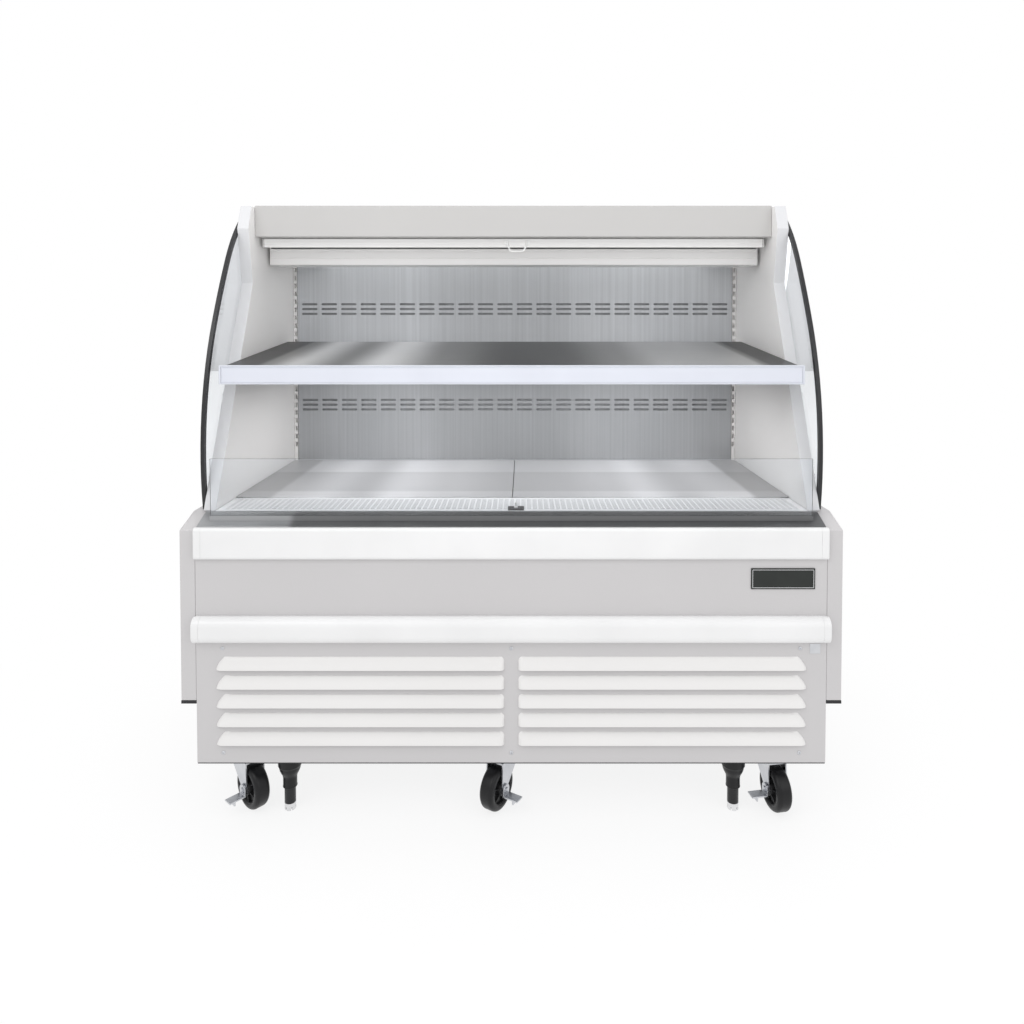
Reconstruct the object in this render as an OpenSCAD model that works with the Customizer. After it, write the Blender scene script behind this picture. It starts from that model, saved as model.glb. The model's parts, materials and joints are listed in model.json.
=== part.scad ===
// Open-front refrigerated deli case on casters, with one shelf, curved side glass,
// a pull-down night curtain and a self-contained refrigeration unit in its base.
// Axes: +X to the right of someone facing the front, +Y to the rear, +Z up.
// The origin is on the floor, under the middle of the whole case.

/* [Case] */
// Width over the end panels
case_w = 1511; // [1500:1:1530]
// Depth from the lower bumper to the rear
case_d = 889; // [880:1:900]
// Height over the canopy
case_h = 1450; // [1444:1:1460]
// Width of the cabinet and of its front panels
body_w = 1440; // [1436:1:1446]
// Clear width between the side walls
inside_w = 1398; // [1396:1:1400]
// Thickness of every sheet-metal skin
skin = 1.2; // [0.8:0.1:1.6]

/* [Levels] */
// Underside of the base frame
base_z = 130; // [128:1:132]
// Underside of the insulated tub
tub_z = 400; // [396:1:404]
// Top of the insulated tub
tub_top_z = 690; // [688:1:691]
// Top of the deck pans
deck_z = 696; // [695:1:698]
// Underside of the canopy
canopy_z = 1366; // [1364:1:1370]

/* [Front] */
// Lowest edge of the louvre panel
louvre_panel_z = 127; // [125:1:128]
// Lower edge of the lower bumper
low_bumper_z = 408; // [406:1:410]
// Height of the lower bumper
low_bumper_h = 60; // [56:1:62]
// How far the lower bumper stands proud of the panels
low_bumper_proud = 24; // [20:1:28]
// Lower edge of the upper bumper
top_bumper_z = 598; // [594:1:600]
// Height of the upper bumper
top_bumper_h = 73; // [68:1:74]
// How far the upper bumper stands proud of the panels
top_bumper_proud = 11; // [8:1:14]
// Rows of louvres in the lower panel
louvre_rows = 5; // [4:1:5]
// Height of one louvre
louvre_h = 29; // [25:1:31]
// Spacing of the louvre rows
louvre_pitch = 43.3; // [42:0.1:44]

/* [Shelf] */
// Front edge of the shelf, behind the front panels
shelf_front = 108; // [104:1:120]
// Front-to-back size of the shelf
shelf_deep = 500; // [470:1:510]
// Height of the shelf's top at its front edge
shelf_z = 1030; // [1020:1:1040]
// Slope of the shelf down to the front, in degrees
shelf_tilt = 5; // [3:0.5:5]
// Height of the shelf's front rail
shelf_rail_h = 46; // [44:1:50]

/* [Air duct] */
// Face of the duct panel, behind the front panels
duct_face = 673; // [668:1:678]
// Columns of air slots
slot_columns = 22; // [16:1:22]
// Spacing of the slot columns
slot_pitch = 61.6; // [60:0.1:61.8]
// Width of one air slot
slot_w = 48.6; // [40:0.1:50]
// Height of one air slot
slot_h = 7; // [5:0.5:8]

/* [Night curtain] */
// Rest position of the pull bar, behind the front panels
bar_depth = 380; // [379:1:382]
// Rest height of the pull bar
bar_z = 1352.5; // [1351:0.5:1352.5]
// Length of the pull bar
bar_len = 1378; // [1370:1:1380]
// Place of the curtain roller, behind the front panels
roller_depth = 482; // [480:1:486]
// Height of the curtain roller
roller_z = 1325; // [1323:1:1327]

/* [Casters] */
// Diameter of a caster wheel
wheel_d = 100; // [98:1:100]
// Width of a caster wheel
wheel_w = 36; // [32:1:37]
// Distance from the swivel axis to the wheel's axle
caster_trail = 30; // [28:1:30]
// Distance of the front swivel axes behind the front panels
caster_inset = 60; // [58:1:64]
// Distance of the outer casters from the centre
caster_side = 612; // [610:1:615]
// Radius of the axle bolts
axle_r = 6; // [5:0.5:6]
// Radial clearance of each running fit
fit = 0.05; // [0.03:0.01:0.09]

/* [Hidden] */
$fn = 64;

// Lengths called depth are measured rearwards from the face of the front panels.
front_y = low_bumper_proud - case_d / 2;
rear_depth = case_d - low_bumper_proud - 2;
half_body = body_w / 2;
half_inside = inside_w / 2;
gap = 0.3;

// Foam-filled walls
wall_t = 30;
foam_t = 40;
wall_outer_x = half_inside + wall_t;
wall_top_z = case_h - 4;
end_inner_x = half_body + 0.5;
end_outer_x = case_w / 2;
end_low_z = 271;
end_front_z = 664;
end_top_z = 689;
end_slope_depth = 75;
end_strip_h = 7;
canopy_front = 340;

// Side glass: a 6 mm pane outside each side wall
glass_t = 6;
glass_x = wall_outer_x + 2.5;
glass_foot = [91, end_top_z + 0.5];
glass_heading = 99.6;
glass_radii = [746, 1814, 437];
glass_turns = [34.7, 6, 24.6];
glass_lap = 45;
trim_lip = 9;
trim_web = 2.5;
trim_side = 1.5;

// The front edge of each opaque side wall, from its foot to its head
wall_foot = [68, tub_top_z + 0.6];
wall_knee = [322, 1240];
wall_chin = [294, 1383];
wall_head = [canopy_front - 2, 1437];

// Base
channel_deep = 102;
channel_h = 40;
channel_t = 2;
pan_z = base_z + channel_h + gap;
post_w = 32;
drain_x = 430;
drain_depth = 560;
drain_r = 13.35;
drain_pipe_r = 16;
drain_spigot_z = 112;
drain_spigot_len = 45;

// Casters: 1 to 3 at the front from left to right, 4 to 6 at the rear
front_left_shift = 17;
caster_x = [-caster_side - front_left_shift, -20, caster_side, -caster_side, -20, caster_side];
caster_yaw = [-42, -121, -80, -72, -90, -108];
pedal_side = [-1, 1, -1];
wheel_r = wheel_d / 2;
plate_t = 4;
plate_z = base_z - plate_t;
race_r = 31;
fork_top_z = 113;
fork_t = 3;
fork_gap = 2.4;
fork_inner = wheel_w / 2 + fork_gap;
fork_outer = fork_inner + fork_t;
kingpin_r = 6;
bolt_head_r = 9;
bolt_head_t = 6;
pedal_r = 13;
pedal_t = 4;
pedal_reach = 40;

// Levelling legs
leg_x = 517;
leg_inset = 30;
leg_rest_z = 1.5;
leg_foot_r = 13;
leg_tube_r = 16.4;

// Front sheet metal
return_flange = 16;
louvre_deep = 9;
louvre_top_row_z = 344;
louvre_inner_x = 16;
louvre_outer_x = 674;
ledge_back = 60;
ledge_low_z = top_bumper_z + top_bumper_h + 1.5;
ledge_slope_back = 46;
grille_z = 693;
grille_front = 62.5;
grille_back = 185;
deck_front = 187;
deck_back = duct_face - 2;
deck_flange = 16;

// Clear guard that stands on the slope of the ledge, in a channel
guard_front = 20;
guard_t = 5;
guard_half = 693;
guard_top_z = 823;
guard_lip = 1.5;
guard_channel_top_z = 692;

// Duct
duct_half = 685;
slot_row_pitch = 15.2;
slot_levels = [1174.5, 872];

// Shelf
shelf_half = 696;
shelf_rail_half = 703;
shelf_lip = 24;
bracket_x = 691;
bracket_t = 3;
hang_gap = 0.4;
bracket_gap = 8;

// Night curtain
bar_deep = 16;
bar_h = 24;
bar_wall = 1.5;
handle_x = 10;
handle_half_top = 33;
handle_half_low = 15;
handle_drop = 31;
handle_t = 4;
handle_h = 5;
housing_front = 434;
housing_back = 530;
housing_low_z = 1296;
housing_half = 690;
roll_r = 20;
roller_tube_r = 16;
roller_pin_r = 5;
curtain_half = 686;
catch_depth = 85;
cloth_t = 0.6;
cloth_exit_z = 1346;

// Refrigeration
coil_half = 520;
fan_plate_depth = 400;
fan_r = 88;
fan_x = 300;
fan_z = 556;
shaft_r = 4;
blade_count = 5;
compressor_x = 330;
compressor_depth = 300;
condenser_x = -260;
condenser_half = 190;
condenser_front = 120;
condenser_deep = 70;
condenser_z = 286;
condenser_fan_r = 92;

// Controls, on the rear
control_x = -560;
control_half = 95;
control_low_z = 215;
control_high_z = 365;
control_face = rear_depth - 6;
switch_x = control_x - 50;
switch_z = 320;
knob_x = control_x + 35;
knob_z = 320;
knob_r = 19;
knob_shaft_r = 3;

function row_y(depth) = front_y + depth;
function ledge_z(depth) = ledge_low_z + (grille_z - 1.5 - ledge_low_z) * depth / ledge_slope_back;
function arc(c, r, a0, a1, n) = [for (i = [0 : n]) c + r * [cos(a0 + (a1 - a0) * i / n), sin(a0 + (a1 - a0) * i / n)]];
function normal(heading) = [cos(heading + 90), sin(heading + 90)];

// Front edge of the side glass as three tangent arcs, moved outwards by o
function glass_edge(o) =
  let (h1 = glass_heading - glass_turns[0])
  let (h2 = h1 - glass_turns[1])
  let (h3 = h2 - glass_turns[2])
  let (c1 = glass_foot - glass_radii[0] * normal(glass_heading))
  let (c2 = c1 + (glass_radii[0] - glass_radii[1]) * normal(h1))
  let (c3 = c2 + (glass_radii[1] - glass_radii[2]) * normal(h2))
  concat(
    arc(c1, glass_radii[0] + o, glass_heading + 90, h1 + 92, 11),
    arc(c2, glass_radii[1] + o, h1 + 90, h2 + 90.5, 7),
    arc(c3, glass_radii[2] + o, h2 + 90, h3 + 90, 9)
  );
function backwards(list) = [for (i = [len(list) - 1 : -1 : 0]) list[i]];

module slab(x0, x1, d0, d1, z0, z1) {
  translate([x0, row_y(d0), z0]) cube([x1 - x0, d1 - d0, z1 - z0]);
}

// A foam-filled slab: a closed sheet skin round an empty core
module skin_slab(x0, x1, d0, d1, z0, z1) {
  difference() {
    slab(x0, x1, d0, d1, z0, z1);
    slab(x0 + skin, x1 - skin, d0 + skin, d1 - skin, z0 + skin, z1 - skin);
  }
}

// Draws a depth-and-height outline, stretched from x0 to x1
module across(x0, x1) {
  translate([x0, front_y, 0]) rotate([90, 0, 90]) linear_extrude(x1 - x0) children();
}

module both_sides() {
  children();
  mirror([1, 0, 0]) children();
}

module rod_x(x0, x1, depth, z, r) {
  translate([x0, row_y(depth), z]) rotate([0, 90, 0]) cylinder(h = x1 - x0, r = r);
}

module rod_y(x, d0, d1, z, r) {
  translate([x, row_y(d1), z]) rotate([90, 0, 0]) cylinder(h = d1 - d0, r = r);
}

module rod_z(x, depth, z0, z1, r) {
  translate([x, row_y(depth), z0]) cylinder(h = z1 - z0, r = r);
}

// ---- Base and skirt ----

module channel(x0, x1, d0, d1) {
  difference() {
    slab(x0, x1, d0, d1, base_z, base_z + channel_h);
    slab(x0 + channel_t, x1 - channel_t, d0 + channel_t, d1 - channel_t, base_z + channel_t, base_z + channel_h + 1);
  }
}

module base_frame() {
  side_x = half_body - 2;
  pan_top = pan_z + skin;
  color([0.72, 0.73, 0.74]) {
    channel(-side_x, side_x, 2, 2 + channel_deep);
    channel(-side_x, side_x, rear_depth - 2 - channel_deep, rear_depth - 2);
    for (x = [-side_x, -150, 150 - 60, side_x - 60])
      channel(x, x + 60, 2 + channel_deep + gap, rear_depth - 2 - channel_deep - gap);
    difference() {
      slab(-side_x, side_x, 20, rear_depth - 20, pan_z, pan_top);
      rod_z(drain_x, drain_depth, pan_z - 1, pan_top + 1, drain_pipe_r + 3);
    }
    both_sides() for (d = [24, rear_depth - 24 - post_w])
      slab(side_x - post_w, side_x, d, d + post_w, pan_top + gap, tub_z - gap);
    both_sides() slab(half_body - 1.5, half_body, 20, rear_depth - 2, base_z, tub_z - gap);
  }
}

// One pressed louvre: a hood that stands out at its lower edge, with closed ends
module louvre(x0, x1, z0) {
  hood = [[0, z0 + louvre_h], [0.01, z0 + louvre_h - 3], [1.4 - louvre_deep, z0], [-louvre_deep, z0]];
  cheek = [[0.01, z0 + louvre_h], [0.01, z0], [-louvre_deep, z0]];
  across(x0, x1) polygon(hood);
  across(x0, x0 + 1.4) polygon(cheek);
  across(x1 - 1.4, x1) polygon(cheek);
}

module louvre_panel() {
  top_z = low_bumper_z;
  color([0.80, 0.80, 0.79]) {
    difference() {
      slab(-half_body, half_body, 0, return_flange, louvre_panel_z, top_z);
      slab(-half_body + 1.4, half_body - 1.4, 1.4, return_flange + 1, louvre_panel_z - 1, top_z - 1.4);
      for (row = [0 : louvre_rows - 1], side = [-1, 1])
        translate([side * (louvre_inner_x + louvre_outer_x) / 2, row_y(0), louvre_top_row_z - row * louvre_pitch + 3])
          translate([(louvre_inner_x - louvre_outer_x) / 2 + 3, -1, 0])
            cube([louvre_outer_x - louvre_inner_x - 6, 3, louvre_h - 9]);
    }
    both_sides() for (row = [0 : louvre_rows - 1])
      louvre(louvre_inner_x, louvre_outer_x, louvre_top_row_z - row * louvre_pitch);
  }
}

module rear_grille() {
  slot_len = 150;
  slot_gap = 24;
  columns = 8;
  rows = 9;
  color([0.72, 0.73, 0.74]) difference() {
    slab(-half_body, half_body, rear_depth - 1.5, rear_depth, base_z, tub_z - gap);
    for (c = [0 : columns - 1], r = [0 : rows - 1])
      let (x = (c - (columns - 1) / 2) * (slot_len + slot_gap) - slot_len / 2)
        if (c > 1) slab(x, x + slot_len, rear_depth - 3, rear_depth + 1, 170 + r * 22, 178 + r * 22);
    slab(control_x - control_half - 1, control_x + control_half + 1, rear_depth - 3, rear_depth + 1,
         control_low_z - 1, control_high_z + 1);
  }
}

// ---- Casters and legs ----

module at_caster(i) {
  depth = i < 3 ? caster_inset : rear_depth - caster_inset;
  translate([caster_x[i], row_y(depth), 0]) rotate([0, 0, caster_yaw[i]]) children();
}

module caster_plates() {
  plate = [96, 66];
  color([0.75, 0.76, 0.78]) for (i = [0 : 5])
    at_caster(i) {
      translate([0, 0, plate_z]) rotate([0, 0, -caster_yaw[i]])
        translate([-plate[0] / 2, -plate[1] / 2, 0]) cube([plate[0], plate[1], plate_t - 0.01]);
      translate([0, 0, fork_top_z + 5.5]) cylinder(h = plate_z - fork_top_z - 5.5, r = race_r - 3);
      translate([0, 0, fork_top_z - 8]) cylinder(h = 16, r = kingpin_r);
      translate([0, 0, fork_top_z - 10]) cylinder(h = 5.5, r = 10);
    }
}

module fork_leg_outline() {
  polygon([
    [-27, fork_top_z], [-27, fork_top_z - 14], [caster_trail - 12, wheel_r + 2], [caster_trail + 12, wheel_r + 2],
    [caster_trail + 8, fork_top_z - 14], [caster_trail + 8, fork_top_z]
  ]);
  translate([caster_trail, wheel_r]) circle(r = 13);
}

module caster_fork(i) {
  color([0.78, 0.79, 0.81]) at_caster(i) {
    difference() {
      union() {
        for (y = [-fork_outer, fork_inner])
          translate([0, y + fork_t, 0]) rotate([90, 0, 0]) linear_extrude(fork_t) fork_leg_outline();
        translate([-27, -fork_outer, fork_top_z - 4]) cube([caster_trail + 35, 2 * fork_outer, 4]);
        translate([0, 0, fork_top_z - 0.01]) cylinder(h = 5, r = race_r);
      }
      translate([0, 0, fork_top_z - 6]) cylinder(h = 14, r = kingpin_r + fit);
    }
    translate([caster_trail, fork_outer, wheel_r]) rotate([90, 0, 0]) cylinder(h = 2 * fork_outer, r = axle_r);
    for (s = [-1, 1])
      if (i > 2 || s != pedal_side[i])
        translate([caster_trail, s > 0 ? fork_outer + bolt_head_t : -fork_outer, wheel_r])
          rotate([90, 0, 0]) cylinder(h = bolt_head_t, r = bolt_head_r);
    if (i < 3)
      translate([caster_trail, pedal_side[i] > 0 ? fork_outer + 7 : -fork_outer + 0.01, wheel_r])
        rotate([90, 0, 0]) cylinder(h = 7.01, r = axle_r);
  }
}

module caster_wheel(i) {
  h = wheel_w / 2;
  shoulder = 10;
  hub_r = 15;
  hub_h = h + 2;
  rim_r = wheel_r - 16;
  color([0.08, 0.08, 0.09]) at_caster(i) translate([caster_trail, 0, wheel_r]) rotate([90, 0, 0])
    rotate_extrude($fn = 96) polygon(concat(
      [[axle_r + fit, -hub_h], [hub_r, -hub_h], [hub_r + 2, -h + 7], [rim_r, -h + 7], [rim_r + 2, -h]],
      arc([wheel_r - shoulder, -h + shoulder], shoulder, -90, 0, 6),
      arc([wheel_r - shoulder, h - shoulder], shoulder, 0, 90, 6),
      [[rim_r + 2, h], [rim_r, h - 7], [hub_r + 2, h - 7], [hub_r, hub_h], [axle_r + fit, hub_h]]
    ));
}

// Side brake: a cam ring on the axle bolt with a tread that sticks out sideways
module brake_pedal(i) {
  s = pedal_side[i];
  tread_w = 24;
  tread_t = 3.5;
  ring_y = fork_outer + 0.5;
  color([0.70, 0.71, 0.73]) at_caster(i) translate([caster_trail, 0, wheel_r]) mirror([0, s > 0 ? 0 : 1, 0]) {
    difference() {
      union() {
        translate([0, ring_y + pedal_t, 0]) rotate([90, 0, 0]) cylinder(h = pedal_t, r = pedal_r);
        translate([-tread_w / 2, ring_y, -13]) cube([tread_w, pedal_t, 11]);
        translate([-tread_w / 2, ring_y, -13]) cube([tread_w, pedal_reach, tread_t]);
        translate([-tread_w / 2, ring_y + pedal_reach - 14, -21]) cube([tread_w, tread_t, 9]);
      }
      translate([0, ring_y + pedal_t + 1, 0]) rotate([90, 0, 0]) cylinder(h = pedal_t + 2, r = axle_r + fit);
    }
  }
}

module at_leg(i) {
  depth = i < 2 ? leg_inset : rear_depth - leg_inset;
  translate([i % 2 == 0 ? -leg_x : leg_x, row_y(depth), 0]) children();
}

module leg_sleeves() {
  color([0.10, 0.10, 0.11]) for (i = [0 : 3])
    at_leg(i) rotate_extrude() polygon([
      [leg_foot_r + fit, 55], [leg_tube_r, 55], [leg_tube_r, 80], [22.5, 92], [25, 104], [27, 106],
      [27, base_z - 0.02], [leg_foot_r + fit, base_z - 0.02]
    ]);
}

module leg_foot(i) {
  hex_r = 13.8;
  color([0.16, 0.16, 0.17]) at_leg(i) {
    translate([0, 0, 15]) cylinder(h = 80, r = leg_foot_r);
    translate([0, 0, leg_rest_z]) cylinder(h = 13.51, r = hex_r, $fn = 6);
  }
}

// ---- Insulated cabinet ----

module insulated_tub() {
  z = tub_z + foam_t + gap;
  color([0.82, 0.83, 0.84]) {
    difference() {
      skin_slab(-half_body, half_body, 22, rear_depth, tub_z, tub_z + foam_t);
      rod_z(drain_x, drain_depth, tub_z - 1, tub_z + foam_t + 1, 0.9 * drain_pipe_r);
    }
    skin_slab(-half_body, half_body, 22, 22 + foam_t - 4, z, 672);
    skin_slab(-half_body, half_body, rear_depth - foam_t, rear_depth, z, tub_top_z);
    both_sides() skin_slab(half_body - foam_t, half_body, ledge_back + 0.5, rear_depth - foam_t - gap, z, tub_top_z);
    // Strips that the outer edges of the deck pans rest on
    both_sides() slab(half_body - foam_t + 1, half_inside - 3, deck_front + 4, deck_back - 4, tub_top_z + gap,
                      deck_z - skin - gap);
  }
  color([0.85, 0.85, 0.83]) difference() {
    union() {
      rod_z(drain_x, drain_depth, drain_spigot_z + drain_spigot_len, tub_z - 0.02, drain_pipe_r);
      rod_z(drain_x, drain_depth, drain_spigot_z, drain_spigot_z + drain_spigot_len + 0.01, drain_r);
    }
    rod_z(drain_x, drain_depth, drain_spigot_z - 1, tub_z + 1, 10);
  }
}

function end_outline(t) = [
  [t, end_low_z + t], [t, end_front_z - 0.7 * t], [end_slope_depth + 0.3 * t, end_top_z - t],
  [rear_depth - t, end_top_z - t], [rear_depth - t, end_low_z + t]
];

module end_panels() {
  color([0.80, 0.80, 0.79]) both_sides() difference() {
    across(end_inner_x, end_outer_x) polygon(end_outline(0));
    across(end_inner_x + skin, end_outer_x - skin) polygon(end_outline(skin));
  }
}

function wall_outline(t) = [
  [wall_foot[0] + 2.4 * t, wall_foot[1] + t], [wall_knee[0] + 1.2 * t, wall_knee[1]], [wall_chin[0] + t, wall_chin[1]],
  [wall_head[0] - 30 + t, wall_top_z - 26], [wall_head[0] - 18 + t, wall_top_z - t],
  [rear_depth - t, wall_top_z - t], [rear_depth - t, wall_foot[1] + t]
];

module side_walls() {
  color([0.93, 0.93, 0.92]) both_sides() difference() {
    across(half_inside, wall_outer_x) polygon(wall_outline(0));
    across(half_inside + skin, wall_outer_x - skin) polygon(wall_outline(skin));
  }
}

module side_glass() {
  edge = glass_edge(0);
  top = edge[len(edge) - 1];
  color([0.86, 0.92, 0.96, 0.35]) both_sides() across(glass_x, glass_x + glass_t)
    polygon(concat(edge, [
      [top[0] + 55, top[1]], [wall_knee[0] + glass_lap + 12, wall_knee[1]], [wall_foot[0] + glass_lap, glass_foot[1]]
    ]));
}

// Black channel over the front edge of each pane, and the strip under each end panel
module edge_trims() {
  color([0.05, 0.05, 0.06]) both_sides() {
    across(glass_x - trim_side, glass_x + glass_t + trim_side)
      polygon(concat(glass_edge(trim_web), backwards(glass_edge(0))));
    for (x = [glass_x - trim_side, glass_x + glass_t])
      across(x, x + trim_side) polygon(concat(glass_edge(0.01), backwards(glass_edge(-trim_lip))));
    slab(end_inner_x, end_outer_x, 0, rear_depth, end_low_z - end_strip_h, end_low_z - 0.02);
  }
}

module canopy() {
  x = half_inside - gap;
  color([0.83, 0.83, 0.82]) skin_slab(-x, x, canopy_front, rear_depth, canopy_z, case_h);
}

module back_panel() {
  x = half_inside - gap;
  color([0.86, 0.87, 0.88]) skin_slab(-x, x, rear_depth - foam_t, rear_depth, tub_top_z + gap, canopy_z - gap);
}

module slot_outline() {
  r = slot_h / 2;
  translate([-slot_w / 2 + r, -r]) square([slot_w - slot_h, slot_h]);
  for (x = [-1, 1]) translate([x * (slot_w / 2 - r), 0]) circle(r = r, $fn = 20);
}

module duct_panel() {
  top_z = canopy_z - gap;
  color([0.66, 0.68, 0.69]) difference() {
    slab(-duct_half, duct_half, duct_face, duct_face + 1.5, tub_top_z + gap, top_z);
    for (c = [0 : slot_columns - 1], level = slot_levels, row = [-1 : 1])
      translate([(c - (slot_columns - 1) / 2) * slot_pitch, row_y(duct_face + 3), level + row * slot_row_pitch])
        rotate([90, 0, 0]) linear_extrude(5) slot_outline();
  }
}

module front_ledge() {
  t = 1.5;
  low = ledge_low_z - 30;
  top = grille_z - 1.5;
  color([0.62, 0.63, 0.64]) across(-half_body + 4, half_body - 4) polygon([
    [0, low], [0, ledge_low_z], [ledge_slope_back, top], [ledge_back, top], [ledge_back, grille_z - 20],
    [ledge_back - t, grille_z - 20], [ledge_back - t, top - t], [ledge_slope_back, top - t], [t, ledge_low_z - t],
    [t, low]
  ]);
}

function guard_foot_z() = ledge_z(guard_front + guard_t + guard_lip) + guard_lip;

module front_guard() {
  color([0.86, 0.92, 0.96, 0.35])
    slab(-guard_half, guard_half, guard_front, guard_front + guard_t, guard_foot_z(), guard_top_z);
}

module guard_channel() {
  d0 = guard_front - 0.02;
  d1 = guard_front + guard_t + 0.02;
  web_z = guard_foot_z() - 0.02;
  top = guard_channel_top_z;
  color([0.62, 0.63, 0.64]) across(-guard_half - 1, guard_half + 1) polygon([
    [d0 - guard_lip, ledge_z(d0 - guard_lip) + 0.02], [d1 + guard_lip, ledge_z(d1 + guard_lip) + 0.02],
    [d1 + guard_lip, top], [d1, top], [d1, web_z], [d0, web_z], [d0, top], [d0 - guard_lip, top]
  ]);
}

// A bumper strip with rounded upper and lower edges
module bumper(half_len, z0, h, proud, r) {
  color([0.97, 0.97, 0.97]) across(-half_len, half_len) polygon(concat(
    [[-0.02, z0], [-0.02, z0 + h]],
    arc([-proud + r, z0 + h - r], r, 90, 180, 8),
    arc([-proud + r, z0 + r], r, 180, 270, 8)
  ));
}

module upper_bumper() {
  bumper(half_body, top_bumper_z, top_bumper_h, top_bumper_proud, 8);
}

module lower_bumper() {
  bumper(half_body + 2, low_bumper_z + 0.02, low_bumper_h - 0.04, low_bumper_proud, 20);
}

// Folded sheet behind both bumpers, from the louvre panel up to the ledge
module front_panel() {
  z0 = low_bumper_z + 0.5;
  z1 = top_bumper_z + 38;
  color([0.80, 0.79, 0.79]) difference() {
    slab(-half_body, half_body, 0, return_flange, z0, z1);
    slab(-half_body + 1.4, half_body - 1.4, 1.4, return_flange + 1, z0 + 1.4, z1 - 1.4);
  }
}

module badge() {
  color([0.10, 0.11, 0.11]) slab(546, 692, -2.5, -0.02, 529, 577);
}

module return_grille() {
  columns = 50;
  pitch = 27.6;
  color([0.88, 0.89, 0.89]) difference() {
    slab(-half_inside + 2, half_inside - 2, grille_front, grille_back, grille_z - 2, grille_z);
    for (c = [0 : columns - 1], row = [0 : 2])
      translate([(c - (columns - 1) / 2) * pitch - 11, row_y(grille_front + 38 + 26 * row), grille_z - 3])
        cube([22, 18, 4]);
  }
}

// A flat sheet with a folded rim that stands clear of the tub's side walls
module deck_pan(x0, x1) {
  rim_half = half_body - foam_t - 3;
  rim_x0 = max(x0, -rim_half);
  rim_x1 = min(x1, rim_half);
  color([0.70, 0.71, 0.72]) {
    slab(x0, x1, deck_front, deck_back, deck_z - skin, deck_z);
    difference() {
      slab(rim_x0, rim_x1, deck_front, deck_back, deck_z - deck_flange, deck_z - skin + 0.01);
      slab(rim_x0 + skin, rim_x1 - skin, deck_front + skin, deck_back - skin, deck_z - deck_flange - 1, deck_z);
    }
  }
}

// ---- Shelf ----

module on_shelf() {
  translate([0, row_y(shelf_front), shelf_z]) rotate([shelf_tilt, 0, 0]) children();
}

module shelf_tray() {
  color([0.42, 0.43, 0.44]) on_shelf() difference() {
    translate([-shelf_half, 0, -shelf_lip]) cube([2 * shelf_half, shelf_deep, shelf_lip]);
    translate([-shelf_half + skin, skin, -shelf_lip - 1])
      cube([2 * (shelf_half - skin), shelf_deep - 2 * skin, shelf_lip + 1 - skin]);
  }
}

module shelf_rail() {
  color([0.90, 0.93, 0.96])
    slab(-shelf_rail_half, shelf_rail_half, shelf_front - 8, shelf_front - 0.4, shelf_z + 3 - shelf_rail_h, shelf_z + 3);
}

// Slotted uprights at both ends of the duct panel, with a bracket hooked on each
module shelf_supports() {
  color([0.60, 0.61, 0.62]) both_sides() {
    difference() {
      slab(duct_half + 1.5, half_inside - 1, duct_face, duct_face + 14, tub_top_z + 1, canopy_z - 1);
      for (z = [740 : 25 : 1320])
        slab(bracket_x - 3.3, bracket_x + bracket_t + 0.3, duct_face - 1, duct_face + 12, z, z + 14);
    }
    on_shelf() translate([bracket_x - 2.9, 0, 0]) rotate([90, 0, 90]) linear_extrude(bracket_t) polygon([
      [70, -shelf_lip - hang_gap], [70, -shelf_lip - 14], [shelf_deep + 30, -shelf_lip - 75],
      [duct_face - shelf_front - bracket_gap, -shelf_lip - 75], [duct_face - shelf_front - bracket_gap, -shelf_lip - hang_gap]
    ]);
  }
}

// ---- Night curtain ----

module curtain_housing() {
  lip = 1350;
  slot_low = 1342;
  color([0.93, 0.93, 0.93]) difference() {
    slab(-housing_half, housing_half, housing_front, housing_back, housing_low_z, canopy_z - gap);
    slab(-housing_half + 3, housing_half - 3, housing_front + skin, housing_back - skin, housing_low_z + skin,
         canopy_z - gap - skin);
    slab(-housing_half + 3, housing_half - 3, housing_front - 1, housing_front + 2, slot_low, lip);
    rod_x(-housing_half - 1, housing_half + 1, roller_depth, roller_z, roller_pin_r + fit);
  }
}

module curtain_roller() {
  color([0.86, 0.87, 0.88]) {
    rod_x(-curtain_half + 4, curtain_half - 4, roller_depth, roller_z, roll_r);
    rod_x(-curtain_half, curtain_half, roller_depth, roller_z, roller_tube_r);
    rod_x(-housing_half + 0.5, housing_half - 0.5, roller_depth, roller_z, roller_pin_r);
  }
}

module curtain_strip() {
  start = housing_front + 3;
  end = bar_depth + bar_deep / 2 + 0.3;
  color([0.93, 0.93, 0.91]) across(-curtain_half + 4, curtain_half - 4) polygon([
    [start, cloth_exit_z], [end, bar_z - cloth_t / 2], [end, bar_z + cloth_t / 2], [start, cloth_exit_z + cloth_t]
  ]);
}

module curtain_bar() {
  z0 = bar_z - bar_h / 2;
  d0 = bar_depth - bar_deep / 2;
  face = d0 - handle_t;
  color([0.90, 0.92, 0.94]) {
    difference() {
      slab(-bar_len / 2, bar_len / 2, d0, d0 + bar_deep, z0, z0 + bar_h);
      slab(-bar_len / 2 + 3, bar_len / 2 - 3, d0 + bar_wall, d0 + bar_deep - bar_wall, z0 + bar_wall,
           z0 + bar_h - bar_wall);
    }
    // U-shaped pull: two legs that slant in towards a finger plate
    for (s = [-1, 1])
      translate([handle_x, row_y(d0 - 0.1), bar_z + 5]) rotate([90, 0, 0]) linear_extrude(handle_t) polygon([
        [s * handle_half_top, 0], [s * (handle_half_top - 8), 0],
        [s * (handle_half_low + 1), -handle_drop + handle_h + 0.2],
        [s * (handle_half_low + 7), -handle_drop + handle_h + 0.2]
      ]);
    translate([handle_x - handle_half_low - 7, row_y(face - 0.1), bar_z + 5 - handle_drop])
      cube([2 * (handle_half_low + 7), handle_t, handle_h]);
  }
}

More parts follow.
